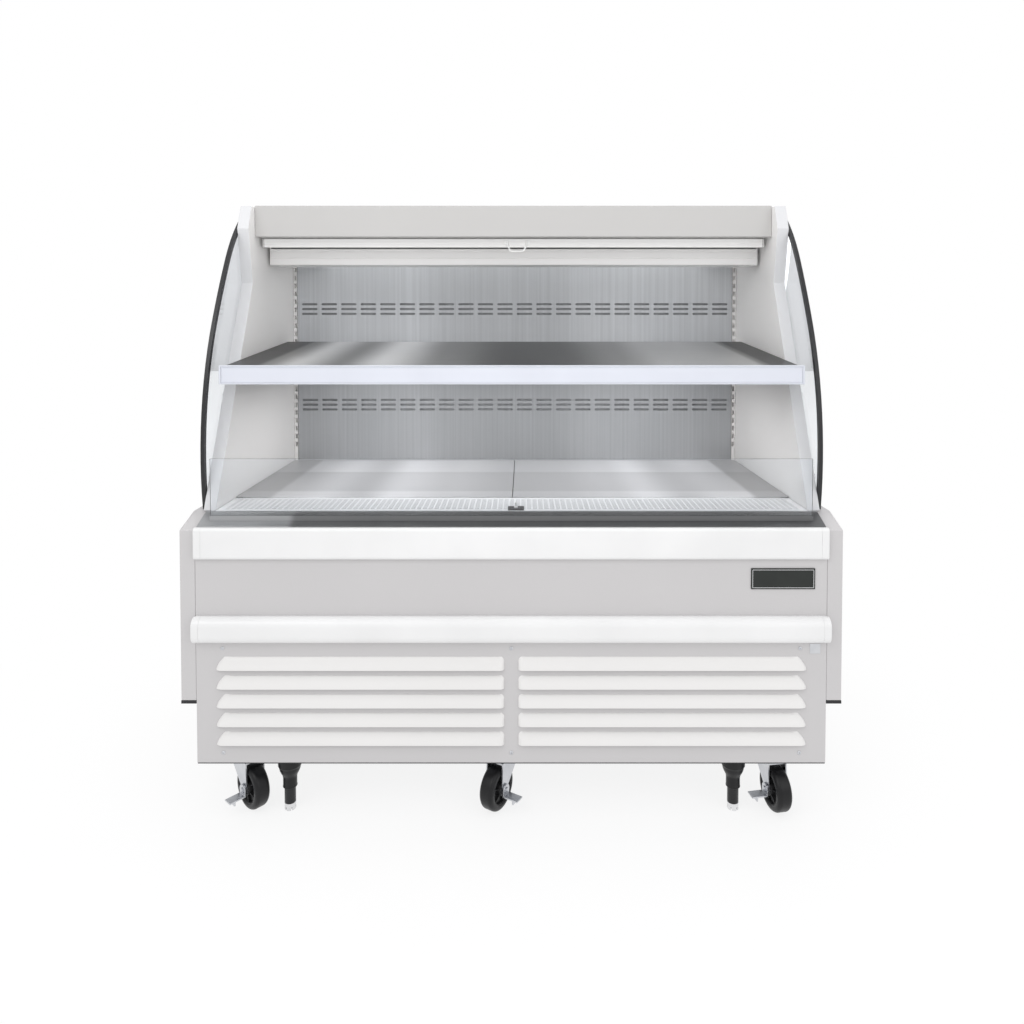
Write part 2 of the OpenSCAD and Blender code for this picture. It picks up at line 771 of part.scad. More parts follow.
// Base plate and post that the pull of the lowered bar drops over
module curtain_catch() {
  base_t = 2.5;
  color([0.25, 0.25, 0.26])
    slab(handle_x - 19, handle_x + 19, catch_depth - 20, catch_depth + 12, grille_z + 0.02, grille_z + base_t);
  color([0.92, 0.92, 0.92])
    translate([handle_x, row_y(catch_depth), grille_z + base_t + 0.02]) cylinder(h = 12, r = 3);
}

module lamp() {
  x = 610;
  color([0.95, 0.95, 0.93]) {
    slab(-x, x, 580, 625, canopy_z - 12, canopy_z - gap);
    across(-x + 6, x - 6) polygon(arc([602.5, canopy_z - 12.3], 18, 180, 360, 12));
  }
}

// ---- Refrigeration ----

// A finned core as a closed block, with tube ends and return bends at both sides
module coil(x0, x1, d0, d1, z0, z1, rows, tube_r) {
  skin_slab(x0, x1, d0, d1, z0, z1);
  for (r = [0 : rows - 1])
    let (z = z0 + (z1 - z0) * (r + 0.5) / rows)
      for (x = [x0 - 10.02, x1 + 0.02])
        rod_x(x, x + 10, (d0 + d1) / 2, z, tube_r);
}

module evaporator_coil() {
  color([0.77, 0.60, 0.45]) coil(-coil_half, coil_half, 470, 620, tub_z + foam_t + 12, tub_top_z - 70, 5, 5);
}

module fan_motor(x, depth, z, r, length) {
  rod_y(x, depth, depth + length, z, r);
  rod_y(x, depth - 26, depth + 1, z, shaft_r);
}

module fan_plate() {
  z0 = tub_z + foam_t + 1;
  x1 = half_body - foam_t - 2;
  color([0.74, 0.75, 0.76]) {
    difference() {
      slab(-x1, x1, fan_plate_depth, fan_plate_depth + 1.5, z0, tub_top_z - 24);
      for (x = [-fan_x, fan_x]) rod_y(x, fan_plate_depth - 1, fan_plate_depth + 3, fan_z, fan_r + 5);
    }
    for (x = [-fan_x, fan_x]) {
      fan_motor(x, fan_plate_depth + 14, fan_z, 38, 36);
      for (side = [-1, 1])
        slab(x + side * 70 - 34, x + side * 70 + 34, fan_plate_depth + 22, fan_plate_depth + 25, fan_z - 6, fan_z + 6);
      for (side = [-1, 1])
        slab(x + side * 103 - 5, x + side * 103 + 5, fan_plate_depth + 1.4, fan_plate_depth + 25, fan_z - 6, fan_z + 6);
    }
  }
}

// An axial fan on a shaft along Y
module fan(x, depth, z, r) {
  hub_r = 20;
  hub_len = 20;
  translate([x, row_y(depth), z]) difference() {
    union() {
      rotate([90, 0, 0]) cylinder(h = hub_len, r = hub_r, center = true);
      for (b = [0 : blade_count - 1])
        rotate([0, b * 360 / blade_count, 0]) translate([0, 0, hub_r - 3]) rotate([0, 0, 24])
          translate([-26, -0.8, 0]) cube([52, 1.6, r - hub_r - 3]);
    }
    rotate([90, 0, 0]) cylinder(h = hub_len + 2, r = shaft_r + fit, center = true);
  }
}

module evaporator_fan(x) {
  color([0.15, 0.15, 0.16]) fan(x, fan_plate_depth - 1, fan_z, fan_r);
}

module compressor() {
  r = 74;
  body_h = 130;
  foot_z = pan_z + skin + gap;
  z = foot_z + 18;
  color([0.08, 0.08, 0.09]) translate([compressor_x, row_y(compressor_depth), 0]) {
    translate([0, 0, z]) rotate_extrude() polygon(concat(
      [[0, 0]], arc([r - 24, 24], 24, -90, 0, 6), arc([r - 40, body_h], 40, 0, 80, 8), [[0, body_h + 44]]
    ));
    translate([-95, -60, z - 5]) cube([190, 120, 5.01]);
    for (sx = [-1, 1], sy = [-1, 1])
      translate([sx * 80, sy * 46, foot_z]) cylinder(h = 13.01, r = 13);
    translate([-30, -r - 22, z + 30]) cube([60, 30, 60]);
  }
}

module condenser() {
  x0 = condenser_x - condenser_half;
  x1 = condenser_x + condenser_half;
  back = condenser_front + condenser_deep;
  z0 = pan_z + skin + gap;
  z1 = tub_z - 6;
  color([0.74, 0.60, 0.48]) coil(x0, x1, condenser_front, back, z0, z1, 4, 5);
  color([0.74, 0.75, 0.76]) {
    difference() {
      slab(x0, x1, back + gap, back + 42, z0, z1);
      slab(x0 + skin, x1 - skin, back - 1, back + 42 - skin, z0 + skin, z1 - skin);
      rod_y(condenser_x, back - 1, back + 50, condenser_z, condenser_fan_r + 5);
    }
    fan_motor(condenser_x, back + 58, condenser_z, 40, 60);
    for (side = [-1, 1]) {
      slab(condenser_x + side * 72 - 34, condenser_x + side * 72 + 34, back + 70, back + 73, condenser_z - 8,
           condenser_z + 8);
      slab(condenser_x + side * 104 - 5, condenser_x + side * 104 + 5, back + 41, back + 73, condenser_z - 8,
           condenser_z + 8);
    }
  }
}

module condenser_fan() {
  color([0.12, 0.12, 0.13])
    fan(condenser_x, condenser_front + condenser_deep + 43, condenser_z, condenser_fan_r);
}

// ---- Controls ----

module control_box() {
  x0 = control_x - control_half;
  x1 = control_x + control_half;
  color([0.78, 0.79, 0.80]) difference() {
    union() {
      skin_slab(x0, x1, control_face - 90, control_face, control_low_z, control_high_z);
      rod_y(control_x, control_face - 2, control_face + 5, control_low_z + 42, 14);
    }
    rod_y(control_x, control_face - 20, control_face + 6, control_low_z + 42, 5);
    slab(switch_x - 12, switch_x + 12, control_face - 14, control_face + 1, switch_z - 17, switch_z + 17);
  }
  color([0.70, 0.71, 0.72]) rod_y(knob_x, control_face + 0.02, control_face + 5, knob_z, knob_shaft_r);
}

module light_switch() {
  color([0.06, 0.06, 0.07]) translate([switch_x, row_y(control_face), switch_z]) {
    rotate([90, 0, 90]) linear_extrude(20, center = true) polygon([[-7, -13], [-7, 13], [0, 15], [4.5, 2], [1.5, -15]]);
  }
}

module thermostat_knob() {
  color([0.08, 0.08, 0.09]) difference() {
    union() {
      rod_y(knob_x, control_face + 0.5, control_face + 5.6, knob_z, knob_r);
      translate([knob_x - 2, row_y(control_face + 1), knob_z]) cube([4, 5, knob_r - 1]);
    }
    rod_y(knob_x, control_face - 1, control_face + 5.2, knob_z, knob_shaft_r + fit);
  }
}

// Domed screws and the caps that clamp the side glass
module fasteners() {
  glass_outer = glass_x + glass_t;
  cap_places = [[125, 760], [214, 950], [305, 1140], [350, 1330]];
  color([0.80, 0.81, 0.82]) {
    both_sides() for (p = cap_places)
      rod_x(glass_outer + 0.02, glass_outer + 3.5, p[0], p[1], 9);
    for (x = [-660, 0, 660], z = [150, 392])
      rod_y(x, -1.8, -0.02, z, 4.5);
    for (x = [-690, -230, 230, 690], z = [720, 1340])
      rod_y(x, rear_depth + 0.02, rear_depth + 2, z, 4.5);
  }
}

base_frame();
louvre_panel();
rear_grille();
caster_plates();
for (i = [1 : 6]) {
  caster_fork(i - 1);
  caster_wheel(i - 1);
}
for (i = [1 : 3])
  brake_pedal(i - 1);
leg_sleeves();
for (i = [1 : 4])
  leg_foot(i - 1);
insulated_tub();
end_panels();
side_walls();
side_glass();
edge_trims();
canopy();
back_panel();
duct_panel();
front_ledge();
front_guard();
guard_channel();
upper_bumper();
front_panel();
lower_bumper();
badge();
return_grille();
deck_pan(-half_inside + 2, -1);  // deck_pan_left
deck_pan(1, half_inside - 2);  // deck_pan_right
shelf_tray();
shelf_rail();
shelf_supports();
curtain_housing();
curtain_roller();
curtain_strip();
curtain_bar();
curtain_catch();
lamp();
evaporator_coil();
fan_plate();
evaporator_fan(-fan_x);  // evaporator_fan_left
evaporator_fan(fan_x);  // evaporator_fan_right
compressor();
condenser();
condenser_fan();
control_box();
light_switch();
thermostat_knob();
fasteners();
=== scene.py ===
import json
import math

import bmesh
import bpy
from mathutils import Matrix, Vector


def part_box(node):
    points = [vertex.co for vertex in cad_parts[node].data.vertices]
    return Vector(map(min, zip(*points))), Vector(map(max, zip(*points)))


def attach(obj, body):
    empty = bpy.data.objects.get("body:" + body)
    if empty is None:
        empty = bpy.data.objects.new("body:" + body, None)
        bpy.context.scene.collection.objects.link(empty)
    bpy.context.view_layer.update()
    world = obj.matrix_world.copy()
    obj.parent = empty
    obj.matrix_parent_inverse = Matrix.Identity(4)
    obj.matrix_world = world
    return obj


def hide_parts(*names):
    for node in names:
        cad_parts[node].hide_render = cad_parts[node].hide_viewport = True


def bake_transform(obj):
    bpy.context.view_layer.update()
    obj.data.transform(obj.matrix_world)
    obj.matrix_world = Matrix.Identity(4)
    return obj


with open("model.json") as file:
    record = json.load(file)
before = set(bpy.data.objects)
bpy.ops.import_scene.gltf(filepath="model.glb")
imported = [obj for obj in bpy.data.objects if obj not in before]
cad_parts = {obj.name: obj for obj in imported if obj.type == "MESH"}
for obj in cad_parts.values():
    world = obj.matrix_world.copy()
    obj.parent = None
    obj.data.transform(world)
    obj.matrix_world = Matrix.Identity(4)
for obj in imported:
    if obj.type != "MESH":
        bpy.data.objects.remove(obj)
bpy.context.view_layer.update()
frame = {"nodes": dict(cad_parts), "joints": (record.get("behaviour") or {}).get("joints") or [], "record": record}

MM = 0.001
CAMERA_AT = (0.0288, -2.1099, 1.1465)
CAMERA_PITCH = -1.53
CAMERA_LENS = 26.3
CAMERA_SHIFT = (-0.0116, -0.17)

body_of = {n: b for b, names in frame["record"]["behaviour"]["bodies"].items() for n in names}
slot_of = {s["node"]: s["material_slot"] for s in frame["record"]["subparts"]}
joint_of = {j["name"]: j for j in frame["joints"]}
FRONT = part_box("front_panel")[0].y
SHARP_ANGLE = math.radians(30)
BRAKED = 3  # casters 1 to 3 have brakes


# ---- Shader nodes ----

def add(tree, kind, inputs=(), **settings):
    """A new node. inputs maps a socket's name or number to its value, or to the socket that feeds it."""
    node = tree.nodes.new("ShaderNode" + kind)
    for key, value in settings.items():
        setattr(node, key, value)
    for key, value in dict(inputs).items():
        if isinstance(value, bpy.types.NodeSocket):
            tree.links.new(value, node.inputs[key])
        else:
            node.inputs[key].default_value = value
    return node


def link(name, data):
    thing = bpy.data.objects.new(name, data)
    bpy.context.scene.collection.objects.link(thing)
    return thing


def set_stops(node, stops):
    """Stops of a colour ramp: each is a place and a grey or a colour."""
    elements = node.color_ramp.elements
    while len(elements) < len(stops):
        elements.new(0.5)
    for element, (position, colour) in zip(elements, stops):
        element.position = position
        element.color = (*colour, 1) if hasattr(colour, "__len__") else (colour, colour, colour, 1)


def blank_material(name, **values):
    """A material whose shader has values on its sockets; _ stands for a space in their names."""
    material = bpy.data.materials.new(name)
    material.use_nodes = True
    tree = material.node_tree
    tree.nodes.clear()
    shader = add(tree, "BsdfPrincipled", {key.replace("_", " "): value for key, value in values.items()})
    out = add(tree, "OutputMaterial", {0: shader.outputs[0]})
    return material, tree, shader, out


def texture(tree, kind, stretch=(1, 1, 1), uv=False, inputs=(), **settings):
    coord = add(tree, "TexCoord").outputs["UV" if uv else "Object"]
    mapping = add(tree, "Mapping", {"Vector": coord, "Scale": stretch})
    return add(tree, "Tex" + kind, {"Vector": mapping.outputs[0], **dict(inputs)}, **settings)


def noise(tree, scale, detail, stretch=(1, 1, 1), uv=False, **inputs):
    return texture(tree, "Noise", stretch, uv, {"Scale": scale, "Detail": detail, **inputs}).outputs["Fac"]


def ramp(tree, factor, stops, smooth=False):
    node = add(tree, "ValToRGB", {0: factor})
    if smooth:
        node.color_ramp.interpolation = "EASE"
    set_stops(node, stops)
    return node.outputs[0]


def shade(tree, shader, factor, stops):
    tree.links.new(ramp(tree, factor, stops), shader.inputs["Base Color"])


def blend_colours(tree, kind, amount, a, b):
    return add(tree, "Mix", data_type="RGBA", blend_type=kind, inputs={0: amount, 6: a, 7: b}).outputs[2]


def vary_roughness(tree, shader, factor, low, high):
    node = add(tree, "MapRange", {"To Min": low, "To Max": high, "Value": factor})
    tree.links.new(node.outputs[0], shader.inputs["Roughness"])


def bumps(tree, shader, *layers):
    """Each layer is (height socket, distance in metres, strength)."""
    last = None
    for height, distance, strength in layers:
        node = add(tree, "Bump", {"Distance": distance, "Strength": strength, "Height": height})
        if last:
            tree.links.new(last, node.inputs["Normal"])
        last = node.outputs[0]
    tree.links.new(last, shader.inputs["Normal"])


# ---- Camera, light and floor ----

def make_camera():
    data = bpy.data.cameras.new("camera")
    data.sensor_width = 36
    data.lens = CAMERA_LENS
    data.shift_x, data.shift_y = CAMERA_SHIFT
    camera = link("camera", data)
    camera.location = CAMERA_AT
    camera.rotation_euler = (math.radians(90 + CAMERA_PITCH), 0, 0)
    bpy.context.scene.camera = camera


# Each lamp: name, place, aim, size, watts. The inner ones aren't seen, only their light is.
STUDIO_LAMPS = (("key", (-1.9, -2.9, 3.3), (0, 0, 0.8), (2.2, 1.6), 24),
                ("fill", (2.4, -2.8, 2.2), (0, 0, 0.7), (2.2, 2.2), 12),
                ("top", (0, -0.3, 3.6), (0, 0, 0.6), (2.6, 1.8), 14),
                ("rear", (0.6, 3.2, 2.2), (0, 0, 0.7), (2.6, 2.0), 16))
INNER_LAMPS = (("inside_high", (0, 0.19, 1.352), (0, -0.06, 0.6), (1.20, 0.05), 2.05),
               ("inside_low", (0, -0.02, 0.965), (0, 0.02, 0), (1.10, 0.40), 2.7),
               ("under_canopy", (0, -0.80, 1.12), (0, 0.0, 1.34), (1.50, 0.20), 1.5))
# Grey of the sky from straight down (0) to straight up (1), and its strength
SKY = [(0.0, 0.62), (0.46, 0.70), (0.53, 0.84), (0.72, 1.0), (1.0, 1.05)]
SKY_BLUE = 1.01
SKY_STRENGTH = 0.92


def make_studio():
    scene = bpy.context.scene
    scene.view_settings.view_transform = "Standard"
    scene.view_settings.look = "None"
    world = bpy.data.worlds.new("studio")
    scene.world = world
    world.use_nodes = True
    tree = world.node_tree
    tree.nodes.clear()
    split = add(tree, "SeparateXYZ", {0: add(tree, "TexCoord").outputs["Generated"]})
    height = add(tree, "MapRange", {"From Min": -1, "Value": split.outputs["Z"]})
    sky = ramp(tree, height.outputs[0], [(place, (grey, grey, grey * SKY_BLUE)) for place, grey in SKY])
    soft = add(tree, "Background", {"Strength": SKY_STRENGTH, "Color": sky})
    white = add(tree, "Background", {"Color": (1, 1, 1, 1)})
    seen = add(tree, "LightPath").outputs["Is Camera Ray"]
    mix = add(tree, "MixShader", {0: seen, 1: soft.outputs[0], 2: white.outputs[0]})
    add(tree, "OutputWorld", {0: mix.outputs[0]})
    for name, at, to, size, power in STUDIO_LAMPS + INNER_LAMPS:
        data = bpy.data.lights.new(name, "AREA")
        data.shape = "RECTANGLE"
        data.size, data.size_y = size
        data.energy = power
        lamp = link(name, data)
        lamp.location = at
        lamp.rotation_euler = (Vector(to) - Vector(at)).to_track_quat("-Z", "Y").to_euler()
        if (name, at, to, size, power) in INNER_LAMPS:
            lamp.visible_camera = lamp.visible_glossy = lamp.visible_transmission = False


def make_floor():
    """A pale floor that turns into the white background away from the case."""
    span, fade_from, fade_to, least_glow = 14, 0.7, 1.7, 0.82
    mesh = bpy.data.meshes.new("floor")
    mesh.from_pydata([(-span, -span, 0), (span, -span, 0), (span, span, 0), (-span, span, 0)], [], [(0, 1, 2, 3)])
    floor = link("floor", mesh)
    material, tree, shader, out = blank_material("floor_paint", Roughness=0.7, Specular_IOR_Level=0.1)
    shade(tree, shader, noise(tree, 3, 3), [(0.3, 0.95), (0.7, 0.965)])
    radius = add(tree, "VectorMath", {0: add(tree, "TexCoord").outputs["Object"]}, operation="LENGTH")
    fade = add(tree, "MapRange", {"From Min": fade_from, "From Max": fade_to, "To Min": least_glow,
                                  "Value": radius.outputs["Value"]}, interpolation_type="SMOOTHSTEP")
    glow = add(tree, "Emission")
    mix = add(tree, "MixShader", {0: fade.outputs[0], 1: shader.outputs[0], 2: glow.outputs[0]})
    tree.links.new(mix.outputs[0], out.inputs[0])
    mesh.materials.append(material)


# ---- Paints ----

def scaled(colour, k):
    return tuple(min(1, c * k) for c in colour)


def powder_coat(name, colour, rough=0.42, peel=0.35, coat=0.0):
    """Baked powder paint with its fine orange peel."""
    material, tree, shader, _ = blank_material(name, Specular_IOR_Level=0.4, Coat_Weight=coat, Coat_Roughness=0.25)
    shade(tree, shader, noise(tree, 2.2, 4), [(0.25, scaled(colour, 0.975)), (0.75, scaled(colour, 1.012))])
    skin = noise(tree, 420, 2)
    fine = texture(tree, "Voronoi", inputs={"Scale": 1500}).outputs["Distance"]
    vary_roughness(tree, shader, skin, rough * 0.85, rough * 1.15)
    bumps(tree, shader, (skin, 0.0004, peel), (fine, 0.0001, peel * 0.5))
    return material


def moulded_plastic(name, colour, rough=0.35, grain=900, depth=0.25, specular=0.5, lines=None):
    """Moulded or extruded plastic with a fine grain, and faint die lines along one axis."""
    material, tree, shader, _ = blank_material(name, Specular_IOR_Level=specular)
    cloud = noise(tree, 6, 3)
    shade(tree, shader, cloud, [(0.3, scaled(colour, 0.97)), (0.7, scaled(colour, 1.03))])
    leather = texture(tree, "Voronoi", inputs={"Scale": grain}).outputs["Distance"]
    vary_roughness(tree, shader, cloud, rough * 0.9, rough * 1.12)
    layers = [(leather, 0.0002, depth)]
    if lines:
        layers.append((noise(tree, 1, 2, lines), 0.0003, 0.25))
    bumps(tree, shader, *layers)
    return material


def brushed_steel(name, colour, rough=0.34, along=0, contrast=0.10, metallic=1.0, specular=0.5, bands=()):
    """Brushed sheet: long hair lines along one axis, wider streaks, and cloudy smears.
    The bands paint reflections and shade along one axis; each is (axis, low, high, stops), with stops of a factor on
    the colour."""
    material, tree, shader, _ = blank_material(name, Metallic=metallic, Specular_IOR_Level=specular)
    fine_scale, wide_scale = 1400, 150
    fine = noise(tree, 1, 3, tuple(4 if i == along else fine_scale for i in range(3)))
    wide = noise(tree, 1, 4, tuple(1.3 if i == along else wide_scale for i in range(3)))
    cloud = noise(tree, 3, 5, Roughness=0.6)
    base = ramp(tree, wide, [(0.25, scaled(colour, 1 - contrast)), (0.75, scaled(colour, 1 + contrast))])
    base = blend_colours(tree, "MULTIPLY", 1.0, base, ramp(tree, cloud, [(0.3, (0.93, 0.935, 0.94)), (0.7, 1.0)]))
    # Painted reflections and shade: each band scales the colour along one axis of the object.
    for axis, low, high, stops in bands:
        split = add(tree, "SeparateXYZ", {0: add(tree, "TexCoord").outputs["Object"]})
        span = add(tree, "MapRange", {"From Min": low, "From Max": high, "Value": split.outputs[axis]})
        base = blend_colours(tree, "MULTIPLY", 1.0, base, ramp(tree, span.outputs[0], stops, smooth=True))
    tree.links.new(base, shader.inputs["Base Color"])
    vary_roughness(tree, shader, fine, rough * 0.8, rough * 1.25)
    bumps(tree, shader, (fine, 0.00012, 0.22), (wide, 0.0004, 0.06))
    return material


def spangled_zinc(name, colour, rough, metallic):
    """Hot-dip galvanised sheet: crystal patches of slightly different grey."""
    material, tree, shader, _ = blank_material(name, Metallic=metallic)
    patches = texture(tree, "Voronoi", inputs={"Scale": 110})
    grey = add(tree, "SeparateXYZ", {0: patches.outputs["Color"]})
    base = ramp(tree, grey.outputs[0], [(0.0, scaled(colour, 0.92)), (0.5, colour), (1.0, scaled(colour, 1.06))])
    base = blend_colours(tree, "MULTIPLY", 1.0, base, ramp(tree, noise(tree, 5, 4), [(0.3, 0.9), (0.7, 1.0)]))
    tree.links.new(base, shader.inputs["Base Color"])
    vary_roughness(tree, shader, grey.outputs[1], rough * 0.8, rough * 1.25)
    bumps(tree, shader, (patches.outputs["Distance"], 0.0003, 0.08), (noise(tree, 900, 2), 0.0001, 0.2))
    return material


def plated(name, colour, rough, tint=None):
    """Bright zinc or chrome plating over a stamped part."""
    material, tree, shader, _ = blank_material(name, Metallic=1.0)
    cloud = noise(tree, 38, 5)
    shade(tree, shader, cloud, [(0.3, tint or scaled(colour, 0.9)), (0.7, colour)])
    vary_roughness(tree, shader, cloud, rough * 0.75, rough * 1.3)
    bumps(tree, shader, (noise(tree, 700, 3), 0.00015, 0.2), (cloud, 0.0004, 0.05))
    return material


def clear_glass(name, colour):
    """Clear pane with a very slight wave."""
    material, tree, shader, _ = blank_material(name, Roughness=0.0, IOR=1.5, Transmission_Weight=1.0)
    wave = noise(tree, 2.2, 1)
    shade(tree, shader, wave, [(0.2, colour), (0.8, scaled(colour, 1.01))])
    bumps(tree, shader, (wave, 0.001, 0.03))
    return material


def coated_cloth(name, colour):
    """Woven blind cloth with a thin coating; the threads run along U and V."""
    material, tree, shader, _ = blank_material(name, Roughness=0.6, Sheen_Weight=0.1)
    warp, weft = (texture(tree, "Wave", uv=True, inputs={"Scale": 70}, wave_profile="SIN", bands_direction=axis)
                  for axis in "XY")
    weave = blend_colours(tree, "DARKEN", 1.0, warp.outputs["Color"], weft.outputs["Color"])
    base = ramp(tree, noise(tree, 9, 4, uv=True), [(0.3, scaled(colour, 0.96)), (0.7, colour)])
    tree.links.new(blend_colours(tree, "MULTIPLY", 0.12, base, weave), shader.inputs["Base Color"])
    bumps(tree, shader, (weave, 0.0003, 0.35))
    return material


def gloss_enamel(name, colour, rough=0.18, coat=0.4):
    """Thick gloss paint or a lacquered plate."""
    material, tree, shader, _ = blank_material(name, Specular_IOR_Level=0.3, Coat_Weight=coat, Coat_Roughness=0.1)
    cloud = noise(tree, 14, 4)
    shade(tree, shader, cloud, [(0.3, scaled(colour, 0.8)), (0.7, scaled(colour, 1.25))])
    vary_roughness(tree, shader, cloud, rough, rough * 1.8)
    bumps(tree, shader, (noise(tree, 260, 2), 0.0004, 0.2))
    return material


# Painted reflections and shade across the steel sheets: place from 0 to 1 along the axis, then the tone there
# Duct sheet across X: painted reflections, lighter at the ends and darker in the middle.
DUCT_REFLECTION_BANDS = [(0.0, 1.08), (0.08, 1.06), (0.16, 1.02), (0.27, 1.02), (0.36, 0.88), (0.44, 0.86), (0.5, 0.88),
              (0.58, 0.88), (0.68, 1.0), (0.76, 1.02), (0.84, 1.02), (0.92, 1.04), (1.0, 1.08)]
# Duct sheet up Z: painted shade, darker below the shelf.
DUCT_SHADE_BELOW_SHELF = [(0.0, 0.61), (0.48, 0.60), (0.56, 0.77), (1.0, 0.82)]
# Shelf across X: painted reflections in light and dark bands, near black at both ends.
SHELF_REFLECTION_BANDS = [(0.0, 0.035), (0.052, 0.03), (0.068, 0.30), (0.123, 0.95), (0.195, 0.30), (0.266, 0.98), (0.369, 0.30),
               (0.496, 0.08), (0.595, 0.11), (0.697, 0.32), (0.779, 0.62), (0.86, 0.66), (0.93, 0.58), (0.945, 0.22),
               (0.955, 0.035), (1.0, 0.03)]
# Deck pans across X and front to back: painted reflections in light and dark bands.
DECK_REFLECTION_BANDS = [(0.0, 0.50), (0.058, 0.50), (0.072, 0.78), (0.151, 1.0), (0.22, 0.74), (0.278, 1.0), (0.376, 0.78),
              (0.497, 0.62), (0.591, 0.66), (0.689, 0.80), (0.747, 1.02), (0.811, 0.78), (0.885, 1.0), (0.932, 0.95),
              (0.945, 0.52), (1.0, 0.50)]
DECK_REFLECTION_ZONES = [(0.0, 1.2), (0.10, 1.18), (0.15, 0.92), (0.60, 0.92), (0.645, 1.2), (1.0, 1.24)]
# Front ledge across X: painted reflection, lighter towards its left end.
LEDGE_REFLECTION_BANDS = [(0.0, 2.6), (0.14, 2.4), (0.155, 1.2), (0.3, 1.06), (1.0, 1.0)]


PAINTS = (
    (powder_coat, "white_panel", (0.575, 0.563, 0.566), {}),
    # Lit and shaded copies of one wall paint: the lighter copy is painted light, the darker bluish copy painted shade.
    (powder_coat, "wall_white", (0.90, 0.89, 0.88), {"rough": 0.40}),
    (powder_coat, "wall_edge", (0.70, 0.705, 0.72), {"rough": 0.40}),
    (powder_coat, "canopy_white", (0.545, 0.537, 0.527), {}),
    # A lighter copy of the panel paint for the louvre hoods: painted highlight.
    (powder_coat, "hood_white", (0.80, 0.79, 0.78), {"rough": 0.38}),
    (moulded_plastic, "bumper_white", (0.81, 0.81, 0.81),
     {"rough": 0.30, "grain": 1300, "depth": 0.08, "lines": (1.5, 260, 260)}),
    # Duct steel: its bands are painted reflections, and painted shade below the shelf.
    (brushed_steel, "duct_steel", (0.74, 0.76, 0.785),
     {"rough": 0.42, "along": 2, "contrast": 0.08, "metallic": 0.45,
      "bands": (("X", -0.685, 0.685, DUCT_REFLECTION_BANDS), ("Z", 0.69, 1.37, DUCT_SHADE_BELOW_SHELF))}),
    # Deck steel: its bands are painted reflections.
    (brushed_steel, "deck_steel", (0.80, 0.785, 0.79),
     {"contrast": 0.03, "metallic": 0.35,
      "bands": (("X", -0.697, 0.697, DECK_REFLECTION_BANDS), ("Y", -0.2335, 0.2505, DECK_REFLECTION_ZONES))}),
    # Ledge steel: its dark grey colour and its bands are painted reflection.
    (brushed_steel, "ledge_steel", (0.15, 0.152, 0.155),
     {"contrast": 0.05, "metallic": 0.7, "bands": (("X", -0.716, 0.716, LEDGE_REFLECTION_BANDS),)}),
    # Shelf steel: its bands are painted reflections.
    (brushed_steel, "shelf_steel", (1.0, 0.995, 0.99),
     {"contrast": 0.05, "metallic": 0.75, "specular": 0.2, "bands": (("X", -0.697, 0.697, SHELF_REFLECTION_BANDS),)}),
    (spangled_zinc, "galvanised", (0.60, 0.61, 0.62), {"rough": 0.45, "metallic": 0.8}),
    (plated, "zinc", (0.66, 0.67, 0.69), {"rough": 0.30, "tint": (0.56, 0.57, 0.60)}),
    (plated, "chrome", (0.80, 0.80, 0.81), {"rough": 0.14}),
    (moulded_plastic, "caster_rubber", (0.008, 0.008, 0.009),
     {"rough": 0.36, "grain": 700, "depth": 0.3, "specular": 0.3}),
    (moulded_plastic, "black_plastic", (0.008, 0.008, 0.009), {"rough": 0.34, "grain": 1100, "specular": 0.3}),
    (moulded_plastic, "black_trim", (0.012, 0.012, 0.014), {"rough": 0.34, "grain": 1600, "depth": 0.12}),
    (clear_glass, "clear_glass", (0.945, 0.965, 0.985), {}),
    (moulded_plastic, "rail_white", (0.62, 0.64, 0.70),
     {"rough": 0.25, "grain": 1600, "depth": 0.05, "lines": (1.5, 300, 300)}),
    (brushed_steel, "aluminium", (0.80, 0.80, 0.795), {"contrast": 0.03, "metallic": 0.35}),
    (coated_cloth, "curtain_cloth", (0.80, 0.80, 0.785), {}),
    (powder_coat, "grille_white", (0.93, 0.93, 0.94), {"rough": 0.35}),
    (brushed_steel, "coil_fins", (0.72, 0.66, 0.60), {"along": 2, "contrast": 0.12}),
    (gloss_enamel, "black_enamel", (0.018, 0.018, 0.020), {}),
    (moulded_plastic, "lamp_white", (0.88, 0.88, 0.86), {"rough": 0.5, "grain": 1200, "depth": 0.2}),
    (gloss_enamel, "badge_black", (0.014, 0.017, 0.015), {"rough": 0.22, "coat": 0.2}),
    (powder_coat, "housing_white", (0.86, 0.85, 0.845), {"rough": 0.26, "peel": 0.12, "coat": 0.3}),
    (plated, "copper", (0.72, 0.40, 0.27), {"rough": 0.28, "tint": (0.55, 0.28, 0.18)}),
    (moulded_plastic, "hub_black", (0.012, 0.012, 0.013),
     {"rough": 0.34, "grain": 900, "depth": 0.2, "specular": 0.3}),
    (gloss_enamel, "black_gloss", (0.012, 0.012, 0.013), {"rough": 0.20, "coat": 0.15}),
    (moulded_plastic, "handle_white", (0.90, 0.90, 0.89), {"rough": 0.32, "grain": 1400, "depth": 0.1}),
    (powder_coat, "bar_white", (0.88, 0.875, 0.865), {"rough": 0.24, "peel": 0.12, "coat": 0.3}),
    (moulded_plastic, "strip_white", (0.63, 0.65, 0.715), {"rough": 0.30, "grain": 1700, "depth": 0.04}),
    (spangled_zinc, "baffle_grey", (0.30, 0.31, 0.32), {"rough": 0.5, "metallic": 0.3}),
)
materials = {name: make(name, colour, **values) for make, name, colour, values in PAINTS}

# The paint of a node, where it isn't the one named like its slot
# The shelf supports take the lighter copy of the wall paint, which is painted light.
PAINT_OF_NODE = {"duct_panel": "duct_steel", "front_ledge": "ledge_steel", "guard_channel": "ledge_steel",
                 "canopy": "canopy_white", "shelf_supports": "wall_white"}


def paint_of(node):
    slot = slot_of[node]
    # Stainless parts get the deck steel with its painted reflections.
    return PAINT_OF_NODE.get(node, "deck_steel" if slot == "stainless" else slot)


